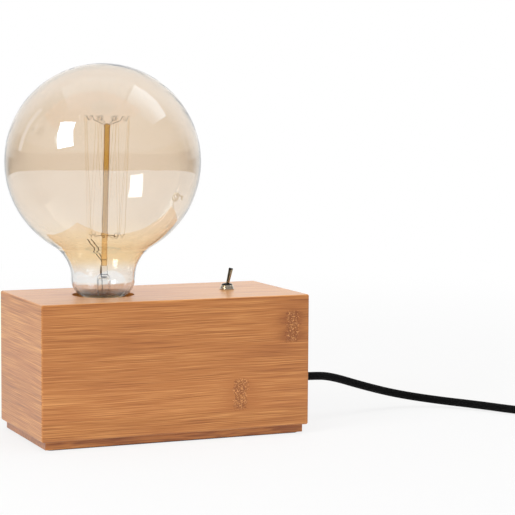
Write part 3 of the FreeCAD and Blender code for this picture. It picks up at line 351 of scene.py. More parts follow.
def painted_dark_top_metal(name, colour, dark, above, rough, metallic=1.0):
    """Plated metal that goes dark above a height: painted shade and painted reflection."""
    shade = new_shade(name)
    x, y, z = shade.spot()
    cloud = shade.noise(shade.vector(x, y, z), 0.8, 3, 0.6)
    rubbed = shade.noise(shade.vector(x * 2, y * 2, z * 6), 1.0, 3, 0.6)
    worn = shade.mix(shade.ramp(cloud, 0.35, 0.7) * 0.3, colour, [c * 0.7 for c in colour])
    # Painted shade and painted reflection: the colour goes dark above the given height.
    share = shade.ramp(z + (cloud - 0.5) * 0.3, above - 0.15, above + 0.15)
    return shade.finish(shade.principled(
        Base_Color=shade.mix(share, worn, dark), Metallic=metallic,
        Roughness=rough + (rubbed - 0.5) * 0.12, Normal=shade.bump(rubbed, 0.015, 0.4),
    ))


def plastic(name, colour, rough, pitted=0.15, specular=0.5):
    """Moulded plastic or glazed clay: an even body with a slightly pebbled skin."""
    shade = new_shade(name)
    at = shade.vector(*shade.spot())
    pebble = shade.noise(at, 3.0, 3, 0.6)
    cloud = shade.noise(at, 0.08, 3, 0.5)
    lighter = [min(1, c * 1.35 + 0.01) for c in colour]
    return shade.finish(shade.principled(
        Base_Color=shade.mix(shade.ramp(cloud, 0.3, 0.7) * 0.5, colour, lighter),
        Roughness=rough + (pebble - 0.5) * 0.2, Specular_IOR_Level=specular,
        Normal=shade.bump(pebble, pitted / 3),
    ))


def felt():
    shade = new_shade("felt")
    at = shade.vector(*shade.spot())
    hair = shade.noise(at, 2.2, 4, 0.75, 1.2)
    clump = shade.noise(at, 0.35, 3, 0.6)
    colour = shade.mix(hair * 0.7 + clump * 0.3, rgb(26, 25, 25), rgb(74, 71, 69))
    return shade.finish(shade.principled(
        Base_Color=colour, Roughness=0.95, Specular_IOR_Level=0.2,
        Sheen_Weight=0.35, Sheen_Roughness=0.5, Normal=shade.bump(hair, 0.25),
    ))


def braid(name, around, pitch, dark, light):
    """Threads plaited round a cord, on a piece whose UV is (millimetres along, turns)."""
    shade = new_shade(name)
    along, turn, _ = shade.split(shade.node("TexCoord").outputs["UV"])
    turns = turn * around
    left, right = (
        shade.math("SINE", (turns + along * (way / pitch)) * math.tau) for way in (1, -1)
    )
    over = shade.ramp(left * right, -0.25, 0.25)
    strand = abs(left) * over + abs(right) * (1 - over)
    lay = along * 5 + turn * 40
    thread = shade.noise(shade.vector(lay, turn * 90, along * 0.4), 1.0, 2, 0.6)
    drift = shade.noise(shade.vector(along * 0.02, turn, 3.0))
    share = strand * 0.6 + thread * 0.3 + drift * 0.25 - 0.1
    return shade.finish(shade.principled(
        Base_Color=shade.mix(share, dark, light),
        Roughness=0.7 + thread * 0.2, Specular_IOR_Level=0.12,
        Sheen_Weight=0.01, Sheen_Roughness=0.4,
        Normal=shade.bump(strand + thread * 0.35, 0.16),
    ))


def hook_and_loop():
    shade = new_shade("tie_fabric")
    at = shade.vector(*shade.spot())
    loops = shade.cells(at, 1.5)
    fluff = shade.noise(at, 3.0, 3, 0.7, 1.0)
    colour = shade.mix(loops * 0.8 + fluff * 0.3, rgb(20, 20, 21), rgb(62, 61, 62))
    return shade.finish(shade.principled(
        Base_Color=colour, Roughness=0.9, Specular_IOR_Level=0.25,
        Sheen_Weight=0.3, Normal=shade.bump(loops + fluff, 0.3),
    ))


# ---------------------------------------- glass

AMBER, AMBER_EDGE, AMBER_LOW = rgb(248, 240, 229), rgb(235, 214, 184), rgb(253, 241, 216)
# The first colour here greys the globe's edge where it is seen edge on: painted shade.
PAINTED_DARK_RIM, BARE_GLASS = rgb(190, 172, 168), (0.98, 0.98, 0.975)
# What a lit amber film adds to reflections: less red than blue.
FILM_GLOSS = (0.52, 0.76, 1.0)
# Heights: the film fades in, the low part is paler, the foot is drawn in, a crease.
FILM_FROM, FILM_FULL = 105.0, 116.0
LOW_PART = (118.0, 140.0)
DRAWN_IN = (91.0, 99.0)
CREASE_AT, CREASE_HALF = 121.0, 1.6
# The stem's rod: paler below the bead, deeper amber in its upper part.
ROD_PALE, ROD_DEEP = (128.0, 132.0), (166.0, 175.0)


def behind_lamps(shade, glass, lets):
    """Glass that a lamp's rays pass, so that what stands in it and behind it is lit."""
    return shade.finish(shade.blend(shade.ray("Is Shadow Ray"), glass, shade.clear(lets)))


def amber_glass():
    """Blown glass with an amber film inside, which fades out to clear above the cap.
    Its edge, where seen edge on, is greyed: painted shade.
    """
    shade = new_shade("amber_glass")
    x, y, z = shade.spot()
    ripple = shade.noise(shade.vector(x, y, z * 0.5), 0.035, 2, 0.5, 0.6)
    uneven = shade.noise(shade.vector(x * 0.5, y * 0.5, z * 1.6), 0.03, 3, 0.6)
    facing = shade.facing(0.35)
    film = shade.mix(facing ** 2.0 * 0.7 + (uneven - 0.5) * 0.35, AMBER, AMBER_EDGE)
    film = shade.mix(shade.ramp(z, *LOW_PART, 0.85, 0.0), film, AMBER_LOW)
    reach = shade.ramp(z + (uneven - 0.5) * 6, FILM_FROM, FILM_FULL)
    colour = shade.mix(reach, BARE_GLASS, film)
    # Painted shade: the globe's edge is greyed where it is seen edge on.
    colour = shade.mix(shade.ramp(facing, 0.80, 0.99) * 0.35, colour, PAINTED_DARK_RIM)
    turn = shade.math("ARCTAN2", y, x - BULB_X)
    folds = shade.noise(shade.vector(turn * 7, z * 0.05, 4.0), 1.0, 3, 0.6, 0.4)
    drawn_in = shade.ramp(z, *DRAWN_IN, 1.0, 0.0)
    crease = shade.ramp(abs(z - CREASE_AT), 0.0, CREASE_HALF, 1.0, 0.0)
    glass = shade.principled(
        Base_Color=colour, Transmission_Weight=1.0, Roughness=drawn_in * 0.16, IOR=1.9,
        Specular_IOR_Level=1.0, Specular_Tint=FILM_GLOSS,
        Normal=shade.bump(ripple + folds * drawn_in * 1.2 + crease * 0.2, 1.2, 0.2),
    )
    return behind_lamps(shade, glass, rgb(250, 240, 222))


def clear_glass(name, body, edge):
    shade = new_shade(name)
    x, y, z = shade.spot()
    drawn = shade.noise(shade.vector(x * 0.9, y * 0.9, z * 0.12), 0.5)
    glass = shade.principled(
        # Painted shade: the glass goes grey towards where it is seen edge on.
        Base_Color=shade.mix(shade.ramp(shade.facing(0.5), 0.35, 0.95), body, edge),
        Transmission_Weight=1.0, Roughness=0.0, IOR=1.48,
        Normal=shade.bump(drawn, 0.3, 0.3),
    )
    return behind_lamps(shade, glass, body)


def rod_glass():
    """The drawn glass rod: amber, painted dark along its edges as painted shade, and paler below
    the bead.
    """
    shade = new_shade("rod_glass")
    x, y, z = shade.spot()
    drawn = shade.noise(shade.vector(x, y, z * 0.05), 1.2, 2, 0.6)
    low = shade.ramp(z, *ROD_PALE, 1.0, 0.0)
    high = shade.ramp(z, *ROD_DEEP)
    core = shade.mix(high, (0.74, 0.60, 0.36), (0.74, 0.50, 0.13))
    # edge is painted shade: the darker colour where the rod is seen edge on.
    edge = shade.mix(high, (0.40, 0.26, 0.14), (0.30, 0.12, 0.02))
    core = shade.mix(low, core, (0.97, 0.78, 0.50))
    edge = shade.mix(low, edge, (0.80, 0.50, 0.22))
    glass = shade.principled(
        Base_Color=shade.mix(shade.ramp(shade.facing(0.5), 0.15, 0.7), core, edge),
        Transmission_Weight=0.85, Roughness=0.04, IOR=1.5,
        Normal=shade.bump(drawn, 0.2, 0.3),
    )
    return behind_lamps(shade, glass, rgb(236, 214, 176))


def strand_finish():
    """The filament's fine pale strands, which let most of the light behind them through."""
    shade = new_shade("filament")
    grain = shade.noise(shade.vector(*shade.spot()), 2.0)
    strand = shade.principled(
        Base_Color=shade.mix(grain, rgb(238, 220, 186), rgb(248, 236, 214)),
        Roughness=0.05, Transmission_Weight=1.0, IOR=1.02,
    )
    return behind_lamps(shade, strand, rgb(240, 230, 214))


# ---------------------------------------- the solids' finishes

# Colour, roughness, how worn.
METALS = {
    "screw_steel": ((0.55, 0.55, 0.56), 0.28, 0.16),
    "zinc_steel": ((0.62, 0.63, 0.65), 0.34, 0.2),
    "contact_brass": (rgb(214, 180, 112), 0.26, 0.16),
    "chrome": ((0.56, 0.52, 0.46), 0.10, 0.08, (0.34, 0.28, 0.20)),
    "pin_brass": (rgb(218, 210, 188), 0.2, 0.14),
    "cap_brass": (rgb(222, 192, 128), 0.22, 0.16),
    "cap_solder": (rgb(196, 196, 198), 0.4, 0.3),
    "support_wire": (rgb(140, 118, 92), 0.3, 0.16),
}
# Colour, roughness, how pebbled, how shiny where it isn't the usual.
PLASTICS = {
    "phenolic": (rgb(28, 26, 25), 0.3),
    "porcelain": (rgb(232, 229, 222), 0.16, 0.05),
    "grommet": (rgb(24, 24, 25), 0.52, 0.2),
    "wire_brown": (rgb(106, 62, 36), 0.42, 0.05),
    "wire_blue": (rgb(44, 88, 158), 0.42, 0.05),
    "plug_plastic": (rgb(22, 22, 23), 0.42, 0.2),
    "pin_sleeve": (rgb(20, 20, 21), 0.48, 0.1),
    "cap_glass": (rgb(16, 14, 22), 0.08, 0.05),
    "inner_sheath": (rgb(24, 24, 25), 0.6),
    "lead_wire": (rgb(62, 40, 24), 0.5, 0.1, 0.2),
}
MATERIALS = {
    "inner_wood": bamboo("inner_wood", 2, 0, 31.0, strip_from=0.0, polish=0.1),
    "felt": felt(),
    # The second colour, the edges' grey, is painted shade.
    "clear_glass": clear_glass("clear_glass", (0.97, 0.97, 0.965), rgb(150, 146, 150)),
    "rod_glass": rod_glass(),
    "filament": strand_finish(),
    **{name: metal(name, *row) for name, row in METALS.items()},
    **{name: plastic(name, *row) for name, row in PLASTICS.items()},
}
# Some solids have a finish of their own.
OWN_FINISH = {
    "front_panel": bamboo("bamboo_front", 0, 2, 3.0, [(42.0, 0, 0.26), (78.0, 2, 0.60)]),
    "back_panel": bamboo("bamboo_back", 0, 2, 11.0, [(-31.0, 2, 0.3), (58.0, 1, 0.2)]),
    # The left board is made paler (pale=0.12): painted light for the key light that falls on
    # that side.
    "left_panel": bamboo("bamboo_left", 1, 2, 17.0, pale=0.12),
    "right_panel": bamboo("bamboo_right", 1, 2, 23.0, [(18.0, 2, 0.3)]),
    # The top board is made much paler (pale=0.40): painted light and sheen for the light from
    # above and the gloss it shows edge on.
    "top_panel": bamboo("bamboo_top", 0, 1, 29.0, strip_from=-40.5, polish=0.6, pale=0.40),
    "base_plate": bamboo(
        "bamboo_plinth", 0, 1, 37.0, [(-52.0, 3, 0.2)], strip_from=-38.0, pale=-0.24),
    "inner_cord": MATERIALS["inner_sheath"],
    # The nut's dark top is painted shade and painted reflection.
    "switch_dress_nut": painted_dark_top_metal(
        "nut_chrome", (0.66, 0.60, 0.50), (0.02, 0.018, 0.016), 93.9, 0.2, 0.8),
    # The lever's dark tip is painted reflection of dark surroundings.
    "switch_lever": painted_dark_top_metal(
        # The lever's bronze brown is painted reflection of the bamboo; the lever is chrome.
        "lever_chrome", (0.40, 0.32, 0.20), (0.06, 0.055, 0.055), 103.9, 0.16),
}


def dress(obj, material):
    obj.data.materials.clear()
    obj.data.materials.append(material)


def dress_nodes():
    """Every solid that shows gets its own finish, or the one its row of the record names."""
    for part in frame["record"]["subparts"]:
        name = part["node"]
        material = OWN_FINISH.get(name) or MATERIALS.get(part["material_slot"])
        if material:
            dress(NODES[name], material)


dress_nodes()

# ---------------------------------------- mesh pieces


def piece(name, mesh, body, material, slot, *replaced):
    """A new object that rides on a body and may stand for some of the solids."""
    obj = add(name, mesh)
    dress(obj, material)
    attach(obj, body)
    if replaced:
        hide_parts(*replaced)
    return obj


def mesh_from(name, work):
    """A mesh of a finished bmesh, which is freed."""
    mesh = bpy.data.meshes.new(name)
    work.to_mesh(mesh)
    work.free()
    return mesh


def mesh_of(name, points, faces):
    """A smooth mesh whose faces look outwards."""
    mesh = bpy.data.meshes.new(name)
    mesh.from_pydata([tuple(p) for p in points], [], faces)
    turned = bmesh.new()
    turned.from_mesh(mesh)
    bmesh.ops.recalc_face_normals(turned, faces=turned.faces)
    turned.to_mesh(mesh)
    turned.free()
    mesh.polygons.foreach_set("use_smooth", [True] * len(mesh.polygons))
    mesh.update()
    return mesh


def skin(rings, around):
    """Faces between rings of points that follow each other, and a face over each end."""
    faces = []
    for low in range(0, (rings - 1) * around, around):
        for k in range(around):
            after = (k + 1) % around
            faces.append((low + k, low + after, low + around + after, low + around + k))
    last = (rings - 1) * around
    return faces + [tuple(reversed(range(around))), tuple(last + k for k in range(around))]


def frames_along(line):
    """A pair of cross directions at each point of a line, carried along without twist."""
    headings = []
    for i in range(len(line)):
        ahead, behind = line[min(i + 1, len(line) - 1)], line[max(i - 1, 0)]
        headings.append((ahead - behind).normalized())
    side = headings[0].cross(Z).normalized()
    pairs = []
    for heading in headings:
        side = (side - heading * side.dot(heading)).normalized()
        pairs.append((side, side.cross(heading)))
    return pairs


def tube_mesh(name, line, radius, around):
    """A closed tube along a line, with a UV of (millimetres along, turns)."""
    reach = [0.0]
    for a, b in zip(line, line[1:]):
        reach.append(reach[-1] + (b - a).length / MM)
    points, uvs = [], []
    for at, (side, over) in zip(line, frames_along(line)):
        for k in range(around):
            angle = math.tau * k / around
            points.append(at + side * radius * math.cos(angle) + over * radius * math.sin(angle))
    for low, high in zip(reach, reach[1:]):
        for k in range(around):
            turn, after = k / around, (k + 1) / around
            uvs += [(low, turn), (low, after), (high, after), (high, turn)]
    uvs += [(reach[0], 0.0)] * around + [(reach[-1], 0.0)] * around
    mesh = mesh_of(name, points, skin(len(line), around))
    layer = mesh.uv_layers.new(name="UVMap")
    layer.data.foreach_set("uv", [c for uv in uvs for c in uv])
    return mesh


def lathe(name, profile, around, at, axis=Z, out=X):
    """A body of revolution: profile is (radius, height) in millimetres, pole to pole."""
    across = axis.cross(out)
    points, faces, rings = [], [], []
    for radius, height in profile:
        steps = around if radius else 1
        rings.append(range(len(points), len(points) + steps))
        for k in range(steps):
            angle = math.tau * k / around
            way = out * math.cos(angle) + across * math.sin(angle)
            points.append(at + way * radius * MM + axis * height * MM)
    for low, high in zip(rings, rings[1:]):
        for k in range(around):
            after = (k + 1) % around
            corners = [low[k % len(low)], low[after % len(low)],
                       high[after % len(high)], high[k % len(high)]]
            face = tuple(dict.fromkeys(corners))
            if len(face) > 2:
                faces.append(face)
    return mesh_of(name, points, faces)


def arc(centre, radius, start, end, count):
    """Points of an arc in (radius, height), angles in degrees from straight out."""
    steps = [start + (end - start) * i / count for i in range(count + 1)]
    return [
        (centre[0] + radius * math.cos(math.radians(a)),
         centre[1] + radius * math.sin(math.radians(a))) for a in steps
    ]


def rounded_loop(low, high, corner, steps=6):
    """A rounded rectangle's points, anticlockwise from its lower right."""
    loop = []
    for k, (x, y) in enumerate(((1, -1), (1, 1), (-1, 1), (-1, -1))):
        middle = (
            high[0] - corner if x > 0 else low[0] + corner,
            high[1] - corner if y > 0 else low[1] + corner,
        )
        loop += arc(middle, corner, -90 + 90 * k, 90 * k, steps)
    return loop


# ---------------------------------------- the cord

CORD_RADIUS, CORD_LENGTH = 2.75, 1.781
CORD_LEAD = [
    (102.0, 0.0, 29.8), (114.5, 0.0, 29.8), (130.5, 6.0, 27.7), (158.0, 12.5, 18.6),
    (188.5, 20.5, 9.8), (216.5, 14.0, 4.8), (238.0, -9.0, 3.6),
]
CORD_ON_TABLE = 2.9
TAIL_MIDDLE = (361.4, -19.5, 6.7)
PLUG_AT, PLUG_HEADING = Vector((359.0, 2.0, 6.85)), math.radians(95)
PLUG_ALONG = Vector((math.cos(PLUG_HEADING), math.sin(PLUG_HEADING), 0))
PLUG_ACROSS = PLUG_ALONG.cross(Z)
# The coil winds inwards on the table and outwards again on top of itself.
COIL_CENTRE = Vector((316.6, -47.4, 0))
COIL_LOW, COIL_RISE, COIL_INNER, COIL_PITCH = 3.35, 6.0, 21.0, 6.1
COIL_TURNS, COIL_FIRST = 7.4, math.radians(-146)
COIL_HALF = math.pi * COIL_TURNS
POINTS_PER_TURN = 16


def coil_radius(away):
    """The turns' radius at an angle away from where the winding reverses."""
    rate, span = COIL_PITCH / math.tau, abs(away)
    if span >= math.pi / 2:
        return COIL_INNER + rate * span
    return COIL_INNER + rate * (span * span / math.pi + math.pi / 4)


def coil_point(away, spread=1.0):
    angle, radius = COIL_FIRST + COIL_HALF + away, coil_radius(away) * spread
    climb = 0.5 + 0.5 * math.sin(max(-math.pi / 2, min(math.pi / 2, away)))
    level = COIL_LOW + COIL_RISE * climb
    return COIL_CENTRE + Vector((radius * math.cos(angle), radius * math.sin(angle), level))


def cord_points():
    """The route's own points: lead, then the coil's turns in two layers, then the tail."""
    nudge, straight = 1e-4, 2 * CORD_RADIUS
    first, last = coil_point(-COIL_HALF), coil_point(COIL_HALF)
    arriving = (coil_point(-COIL_HALF + nudge) - first).normalized()
    leaving = (last - coil_point(COIL_HALF - nudge)).normalized()
    start, finish = first - arriving * straight, last + leaving * straight
    floor = start - arriving * 40
    floor.z = CORD_ON_TABLE
    count = round(POINTS_PER_TURN * COIL_TURNS)
    step = 2 * COIL_HALF / count
    # The spline cuts its points' corners, so they stand out by as much.
    spread = 1 / (0.75 + 0.25 * math.cos(step))
    turns = [coil_point(-COIL_HALF + step * i, spread) for i in range(count + 1)]
    return [
        *(Vector(p) for p in CORD_LEAD), floor, start - arriving * 18, start, *turns,
        finish, finish + leaving * 10, Vector(TAIL_MIDDLE), PLUG_AT - PLUG_ALONG * 10, PLUG_AT,
    ]


def smooth_line(points):
    """A NURBS spline on the points, read back as a line of points in metres."""
    curve = bpy.data.curves.new("route", "CURVE")
    curve.dimensions = "3D"
    spline = curve.splines.new("NURBS")
    spline.points.add(len(points) - 1)
    for spot, at in zip(spline.points, points):
        spot.co = (*(at * MM), 1)
    spline.order_u = 3
    spline.use_endpoint_u = True
    spline.resolution_u = 7
    holder = add("route", curve)
    mesh = bpy.data.meshes.new_from_object(holder)
    line = [v.co.copy() for v in mesh.vertices]
    bpy.data.objects.remove(holder)
    bpy.data.meshes.remove(mesh)
    bpy.data.curves.remove(curve)
    return line


CORD_LINE = smooth_line(cord_points())
CORD = piece(
    "cord", tube_mesh("cord", CORD_LINE, CORD_RADIUS * MM, 24), "base",
    braid("cord_textile", around=12, pitch=2.4, dark=rgb(3, 3, 3), light=rgb(17, 17, 18)),
    "cord_textile", "cord_lead", "cord_coil", "cord_tail",
)

# ---------------------------------------- the cord's tie

TIE_ANGLE, TIE_WIDE, TIE_THICK = math.radians(95), 9.0, 0.5
TIE_CORNER, TIE_SOFT, TIE_SHARP = 2.2, 0.18, 1.2
TIE_OUT = Vector((math.cos(TIE_ANGLE), math.sin(TIE_ANGLE), 0))
TIE_ALONG = Z.cross(TIE_OUT)
# The loose end on top: distance in from the outer side, and lift.
TIE_FLAP = ((3.0, 0.0), (8.0, 0.0), (15.0, 0.0), (20.0, 0.0), (22.0, 0.15))
TIE_FLAP_GAP, TIE_FLAP_INSET, TIE_TIP_INSET = 0.02, 0.1, 1.6


def tie_room():
    """The bundle of turns under the strap, as two corners in (out, up), with clearance."""
    middle = COIL_FIRST + COIL_HALF
    reach = [
        coil_radius(away) for away in
        (TIE_ANGLE - middle + math.tau * k for k in range(-12, 13)) if abs(away) < COIL_HALF
    ]
    clear = CORD_RADIUS + 0.15
    bow = TIE_WIDE ** 2 / (8 * min(reach))
    low = (min(reach) - bow - clear, COIL_LOW - clear + 0.1)
    return low, (max(reach) + clear + 0.2, COIL_LOW + COIL_RISE + clear)


def strap_ring(mesh, inner, outer, inset=0.0):
    """The strap's four corners where its inner and outer faces are at these (out, up)."""
    half = TIE_WIDE / 2 - inset
    corners = ((inner, -half), (inner, half), (outer, half), (outer, -half))
    return [
        mesh.verts.new((COIL_CENTRE + TIE_OUT * x + Z * y + TIE_ALONG * shift) * MM)
        for (x, y), shift in corners
    ]


def strap_sides(mesh, rings):
    for first, second in zip(rings, rings[1:]):
        for k in range(4):
            after = (k + 1) % 4
            mesh.faces.new((first[k], first[after], second[after], second[k]))


def make_tie():
    """A hook-and-loop strap round the bundle of turns, its end laid over the top."""
    low, high = tie_room()
    inner = rounded_loop(low, high, TIE_CORNER)
    outer = rounded_loop(
        [c - TIE_THICK for c in low], [c + TIE_THICK for c in high], TIE_CORNER + TIE_THICK)
    mesh = bmesh.new()
    rings = [strap_ring(mesh, *pair) for pair in zip(inner, outer)]
    strap_sides(mesh, rings + rings[:1])
    strips = []
    for inwards, lift in TIE_FLAP:
        x, y = high[0] - inwards, high[1] + TIE_THICK + TIE_FLAP_GAP + lift
        narrow = TIE_TIP_INSET if lift else 0.0
        strips.append(strap_ring(mesh, (x, y), (x, y + TIE_THICK), narrow + TIE_FLAP_INSET))
    strap_sides(mesh, strips)
    mesh.faces.new(strips[0])
    mesh.faces.new(list(reversed(strips[-1])))
    bmesh.ops.recalc_face_normals(mesh, faces=mesh.faces)
    sharp = [
        e for e in mesh.edges if len(e.link_faces) == 2 and e.calc_face_angle(0) > TIE_SHARP
    ]
    bmesh.ops.bevel(mesh, geom=sharp, offset=TIE_SOFT * MM, segments=2, affect="EDGES")
    piece("tie_strap", mesh_from("tie_strap", mesh), "base", hook_and_loop(), "tie_fabric",
          "coil_tie")


make_tie()

# ---------------------------------------- the plug

# Along the plug: distance from the cord's entry, half width, half thickness, squareness.
PLUG_SHAPE = [
    (23.2, 4.6, 4.55, 2.2), (24.6, 5.6, 5.3, 2.4), (26.6, 7.0, 6.0, 2.8),
    (29.4, 9.3, 6.5, 3.4), (32.4, 11.5, 6.75, 4.2), (35.6, 12.75, 6.83, 5.0),
    (39.5, 13.0, 6.85, 5.2), (44.0, 12.75, 6.55, 5.2), (48.0, 12.7, 6.4, 5.2),
    (52.0, 12.85, 6.6, 5.2), (55.8, 12.95, 6.85, 5.2), (57.8, 12.4, 6.7, 5.0),
    (59.2, 11.6, 6.1, 4.6), (59.9, 10.9, 5.5, 4.4),
]
PLUG_AROUND = 64
# One rib of the sleeve and its groove: share of the pitch, share of the groove's depth.
RIB = ((0.0, 0.0), (0.10, 0.0), (0.58, 0.0), (0.66, 0.75), (0.72, 1.0), (0.88, 1.0),
       (0.94, 0.75))
RIBS, RIBS_FROM, RIBS_TO, GROOVE = 7, 1.2, 22.0, 0.5
SLEEVE_THIN, SLEEVE_THICK = 3.38, 4.6
SLEEVE_START = [(0.0, 0.0), (2.9, 0.0), (3.2, 0.15), (3.35, 0.5)]
SLEEVE_END = [(4.75, 22.8), (4.75, 24.0), (0.0, 24.0)]


def squared(half_wide, half_thick, power, angle):
    """A point on a rounded rectangle at an angle about its middle."""
    c, s = math.cos(angle), math.sin(angle)
    return (
        half_wide * math.copysign(abs(c) ** (2 / power), c),
        half_thick * math.copysign(abs(s) ** (2 / power), s),
    )


def make_plug():
    """The moulded shell, with flat ends."""
    points = []
    for reach, wide, thick, power in PLUG_SHAPE:
        for k in range(PLUG_AROUND):
            across, up = squared(wide, thick, power, math.tau * (k + 0.5) / PLUG_AROUND)
            at = PLUG_AT + PLUG_ALONG * reach + PLUG_ACROSS * across + Z * up
            points.append(at * MM)
    mesh = mesh_of("plug_shell", points, skin(len(PLUG_SHAPE), PLUG_AROUND))
    for face in mesh.polygons[-2:]:
        face.use_smooth = False
    return piece(
        "plug_shell", mesh, "base", MATERIALS["plug_plastic"], "plug_plastic", "plug_body",
    )


def make_plug_sleeve():
    """The tapered sleeve on the cord, with shallow grooves cut round it."""
    ribs, long = [], RIBS_TO - RIBS_FROM
    for k in range(RIBS):
        for share, deep in RIB:
            at = RIBS_FROM + long * k / RIBS + long / RIBS * share
            radius = SLEEVE_THIN + (SLEEVE_THICK - SLEEVE_THIN) * (at - RIBS_FROM) / long
            ribs.append((radius - GROOVE * deep, at))
    mesh = lathe(
        "plug_sleeve", [*SLEEVE_START, *ribs, (SLEEVE_THICK, RIBS_TO), *SLEEVE_END], 48,
        PLUG_AT * MM, axis=PLUG_ALONG, out=PLUG_ACROSS,
    )
    return piece(
        "plug_sleeve", mesh, "base", MATERIALS["plug_plastic"], "plug_plastic",
        "plug_strain_relief",
    )


PLUG_SHELL = make_plug()
PLUG_SLEEVE = make_plug_sleeve()

# ---------------------------------------- the bulb's glass

GLOBE, SHOULDER, TAPER, WALL = 62.5, 24.0, 12.0, 1.0
NECK, NECK_STRAIGHT, GLASS_END = 20.4, 0.9, 86.3
SEAL, SEAL_LONG, SEAL_LIP = 11.7, 7.7, 0.6


def glass_profile():
    """The shell's outline in (radius, height from the globe's middle), outside then inside."""
    centre_out = NECK + SHOULDER
    centre_down = math.sqrt((GLOBE + SHOULDER) ** 2 - centre_out ** 2)
    straight_end = centre_down + NECK_STRAIGHT
    meets = -math.degrees(math.atan2(centre_down, centre_out))
    taper_out, seal_in = NECK - TAPER, SEAL - WALL

    def face(inwards, last):
        """The globe, shoulder and taper of a face that lies inwards of the outer one."""
        globe = arc((0, 0), GLOBE - inwards, 90, meets, 80)
        shoulder = arc(
            (centre_out, -centre_down), SHOULDER + inwards, 180 + meets, 180, 20)
        return globe + shoulder[1:] + arc(
            (taper_out, -straight_end), TAPER - inwards, 0, last, 14)

    outside = face(0.0, -math.degrees(math.asin((GLASS_END - straight_end) / TAPER)))
    outside += [(SEAL + SEAL_LIP, -GLASS_END), (SEAL, -GLASS_END - SEAL_LIP),
                (SEAL, -GLASS_END - SEAL_LONG)]
    inside = face(WALL, -math.degrees(math.acos((seal_in - taper_out) / (TAPER - WALL))))
    inside += [(seal_in, -GLASS_END - SEAL_LONG)]
    return [(0.0, h) if r < 1e-4 else (r, h) for r, h in outside + inside[::-1]]


piece("bulb_glass", lathe("bulb_glass", glass_profile(), 128, GLOBE_MIDDLE), "bulb",
      amber_glass(), "amber_glass", "glass_envelope")

# ---------------------------------------- the bulb's cage

STEM_FOOT, STEM_LEAN, CAGE_BEARING = 82.5, math.radians(1.3), 156.4
HOOKS = 8
# A hook's arm from the rod: distance from the axis, height, share of the hook's own lift.
UPPER_ARM = ((1.65, 199.0, 0.0), (2.85, 199.7, 0.0), (6.15, 201.1, 1.0), (8.1, 201.9, 0.5))
LOWER_ARM = ((1.65, 129.0, 0.0), (3.15, 128.8, 0.0), (8.0, 127.9, 0.0))
# The spring at its end: reach, height, length, radius, turns.
UPPER_SPRING, LOWER_SPRING = (15.1, 203.6, 6.4, 1.5, 1.6), (12.9, 128.9, 4.8, 1.1, 1.6)
# The strand round a hook: distance from the axis, height, which way its ends go.
UPPER_BEND, LOWER_BEND = (14.85, 203.9, -1), (12.85, 129.1, 1)
# The points of a bend: steps of bearing to the side, distance from the hook's height.
BEND_SHAPE = ((-2, 1.6), (-1, 0.35), (0, 0.0), (1, 0.35), (2, 1.6))
BEND_STEP = math.degrees(0.21 / 14.5)
# Radii of the wires.
UPPER_WIRE, LOWER_WIRE, STRAND_WIRE, LEAD_WIRE, FOOT_WIRE = 0.09, 0.12, 0.09, 0.27, 0.13
# Where the leads end and the strand begins: out from the axis, height, towards the front.
LEAD_ENDS = [(11.0, 126.0, 1.6), (8.9, 125.8, -1.7)]
# Two leads rise side by side from the stem, and a short stub stands beside them.
LEAD_FEET = [
    [(-1.0, 84.0, 0.9), (0.7, 92.0, 1.2), (1.2, 101.0, 1.2), (1.2, 109.0, 1.3),
     (1.3, 112.6, 2.1)],
    [(-1.1, 84.0, -0.9), (0.6, 92.0, -1.2), (1.0, 101.0, -1.2), (1.0, 109.0, -1.3),
     (1.1, 112.6, -2.1)],
]
LEADS = [
    [(1.3, 112.4, 2.1), (1.6, 113.8, 2.3), (3.7, 116.4, 2.3), (5.8, 119.0, 2.2),
     (6.1, 120.0, 2.1), (6.5, 121.0, 2.0), (8.7, 123.4, 1.8), LEAD_ENDS[0]],
    [(1.1, 112.4, -2.1), (2.2, 116.0, -2.4), (3.6, 118.4, -2.2), (3.8, 119.4, -2.1),
     (4.1, 120.3, -2.0), (6.4, 123.0, -1.8), LEAD_ENDS[1]],
    [(1.2, 113.2, -2.5), (0.2, 113.8, -2.5), (-1.8, 115.2, -2.0)],
]
LEAN_AXIS = Vector((
    math.cos(math.radians(CAGE_BEARING - 90)), math.sin(math.radians(CAGE_BEARING - 90)), 0,
))
CAGE_FRAME = (
    Matrix.Translation(Vector((BULB_X, 0, STEM_FOOT)) * MM)
    @ Matrix.Rotation(STEM_LEAN, 4, LEAN_AXIS)
)


def on_stem(radius, degrees, height, aside=0.0):
    """A point at a radius and bearing about the leaning stem, at a height in the row frame."""
    angle = math.radians(degrees)
    way = Vector((math.cos(angle), math.sin(angle), 0))
    at = way * radius + Z.cross(way) * aside + Z * (height - STEM_FOOT)
    return CAGE_FRAME @ (at * MM)


def in_cage_plane(out, height, aside):
    return on_stem(out, CAGE_BEARING, height, aside)


def wires(name, lines, radius, material, slot, *replaced):
    """Round wires along smooth lines, as one piece on the bulb."""
    joined = bmesh.new()
    for line in lines:
        strand = tube_mesh("strand", line, radius * MM, 8)
        joined.from_mesh(strand)
        bpy.data.meshes.remove(strand)
    piece(name, mesh_from(name, joined), "bulb", material, slot, *replaced)


def hook(arm, spring, bearing, lift=0.0):
    """A wire out from the rod, its end wound into a small spring that holds the strand."""
    reach, high, long, curl, turns = spring
    wire = [on_stem(out, bearing, height + lift * share) for out, height, share in arm]
    for step in range(int(turns * 10) + 1):
        angle = math.tau * step / 10
        wire.append(on_stem(
            reach - long + long * step / (turns * 10), bearing,
            high - curl * math.cos(angle), curl * 0.6 * math.sin(angle),
        ))
    return wire


def bend(bearing, out, height, way):
    return [
        on_stem(out, bearing + side * BEND_STEP, height + way * apart)
        for side, apart in BEND_SHAPE
    ]


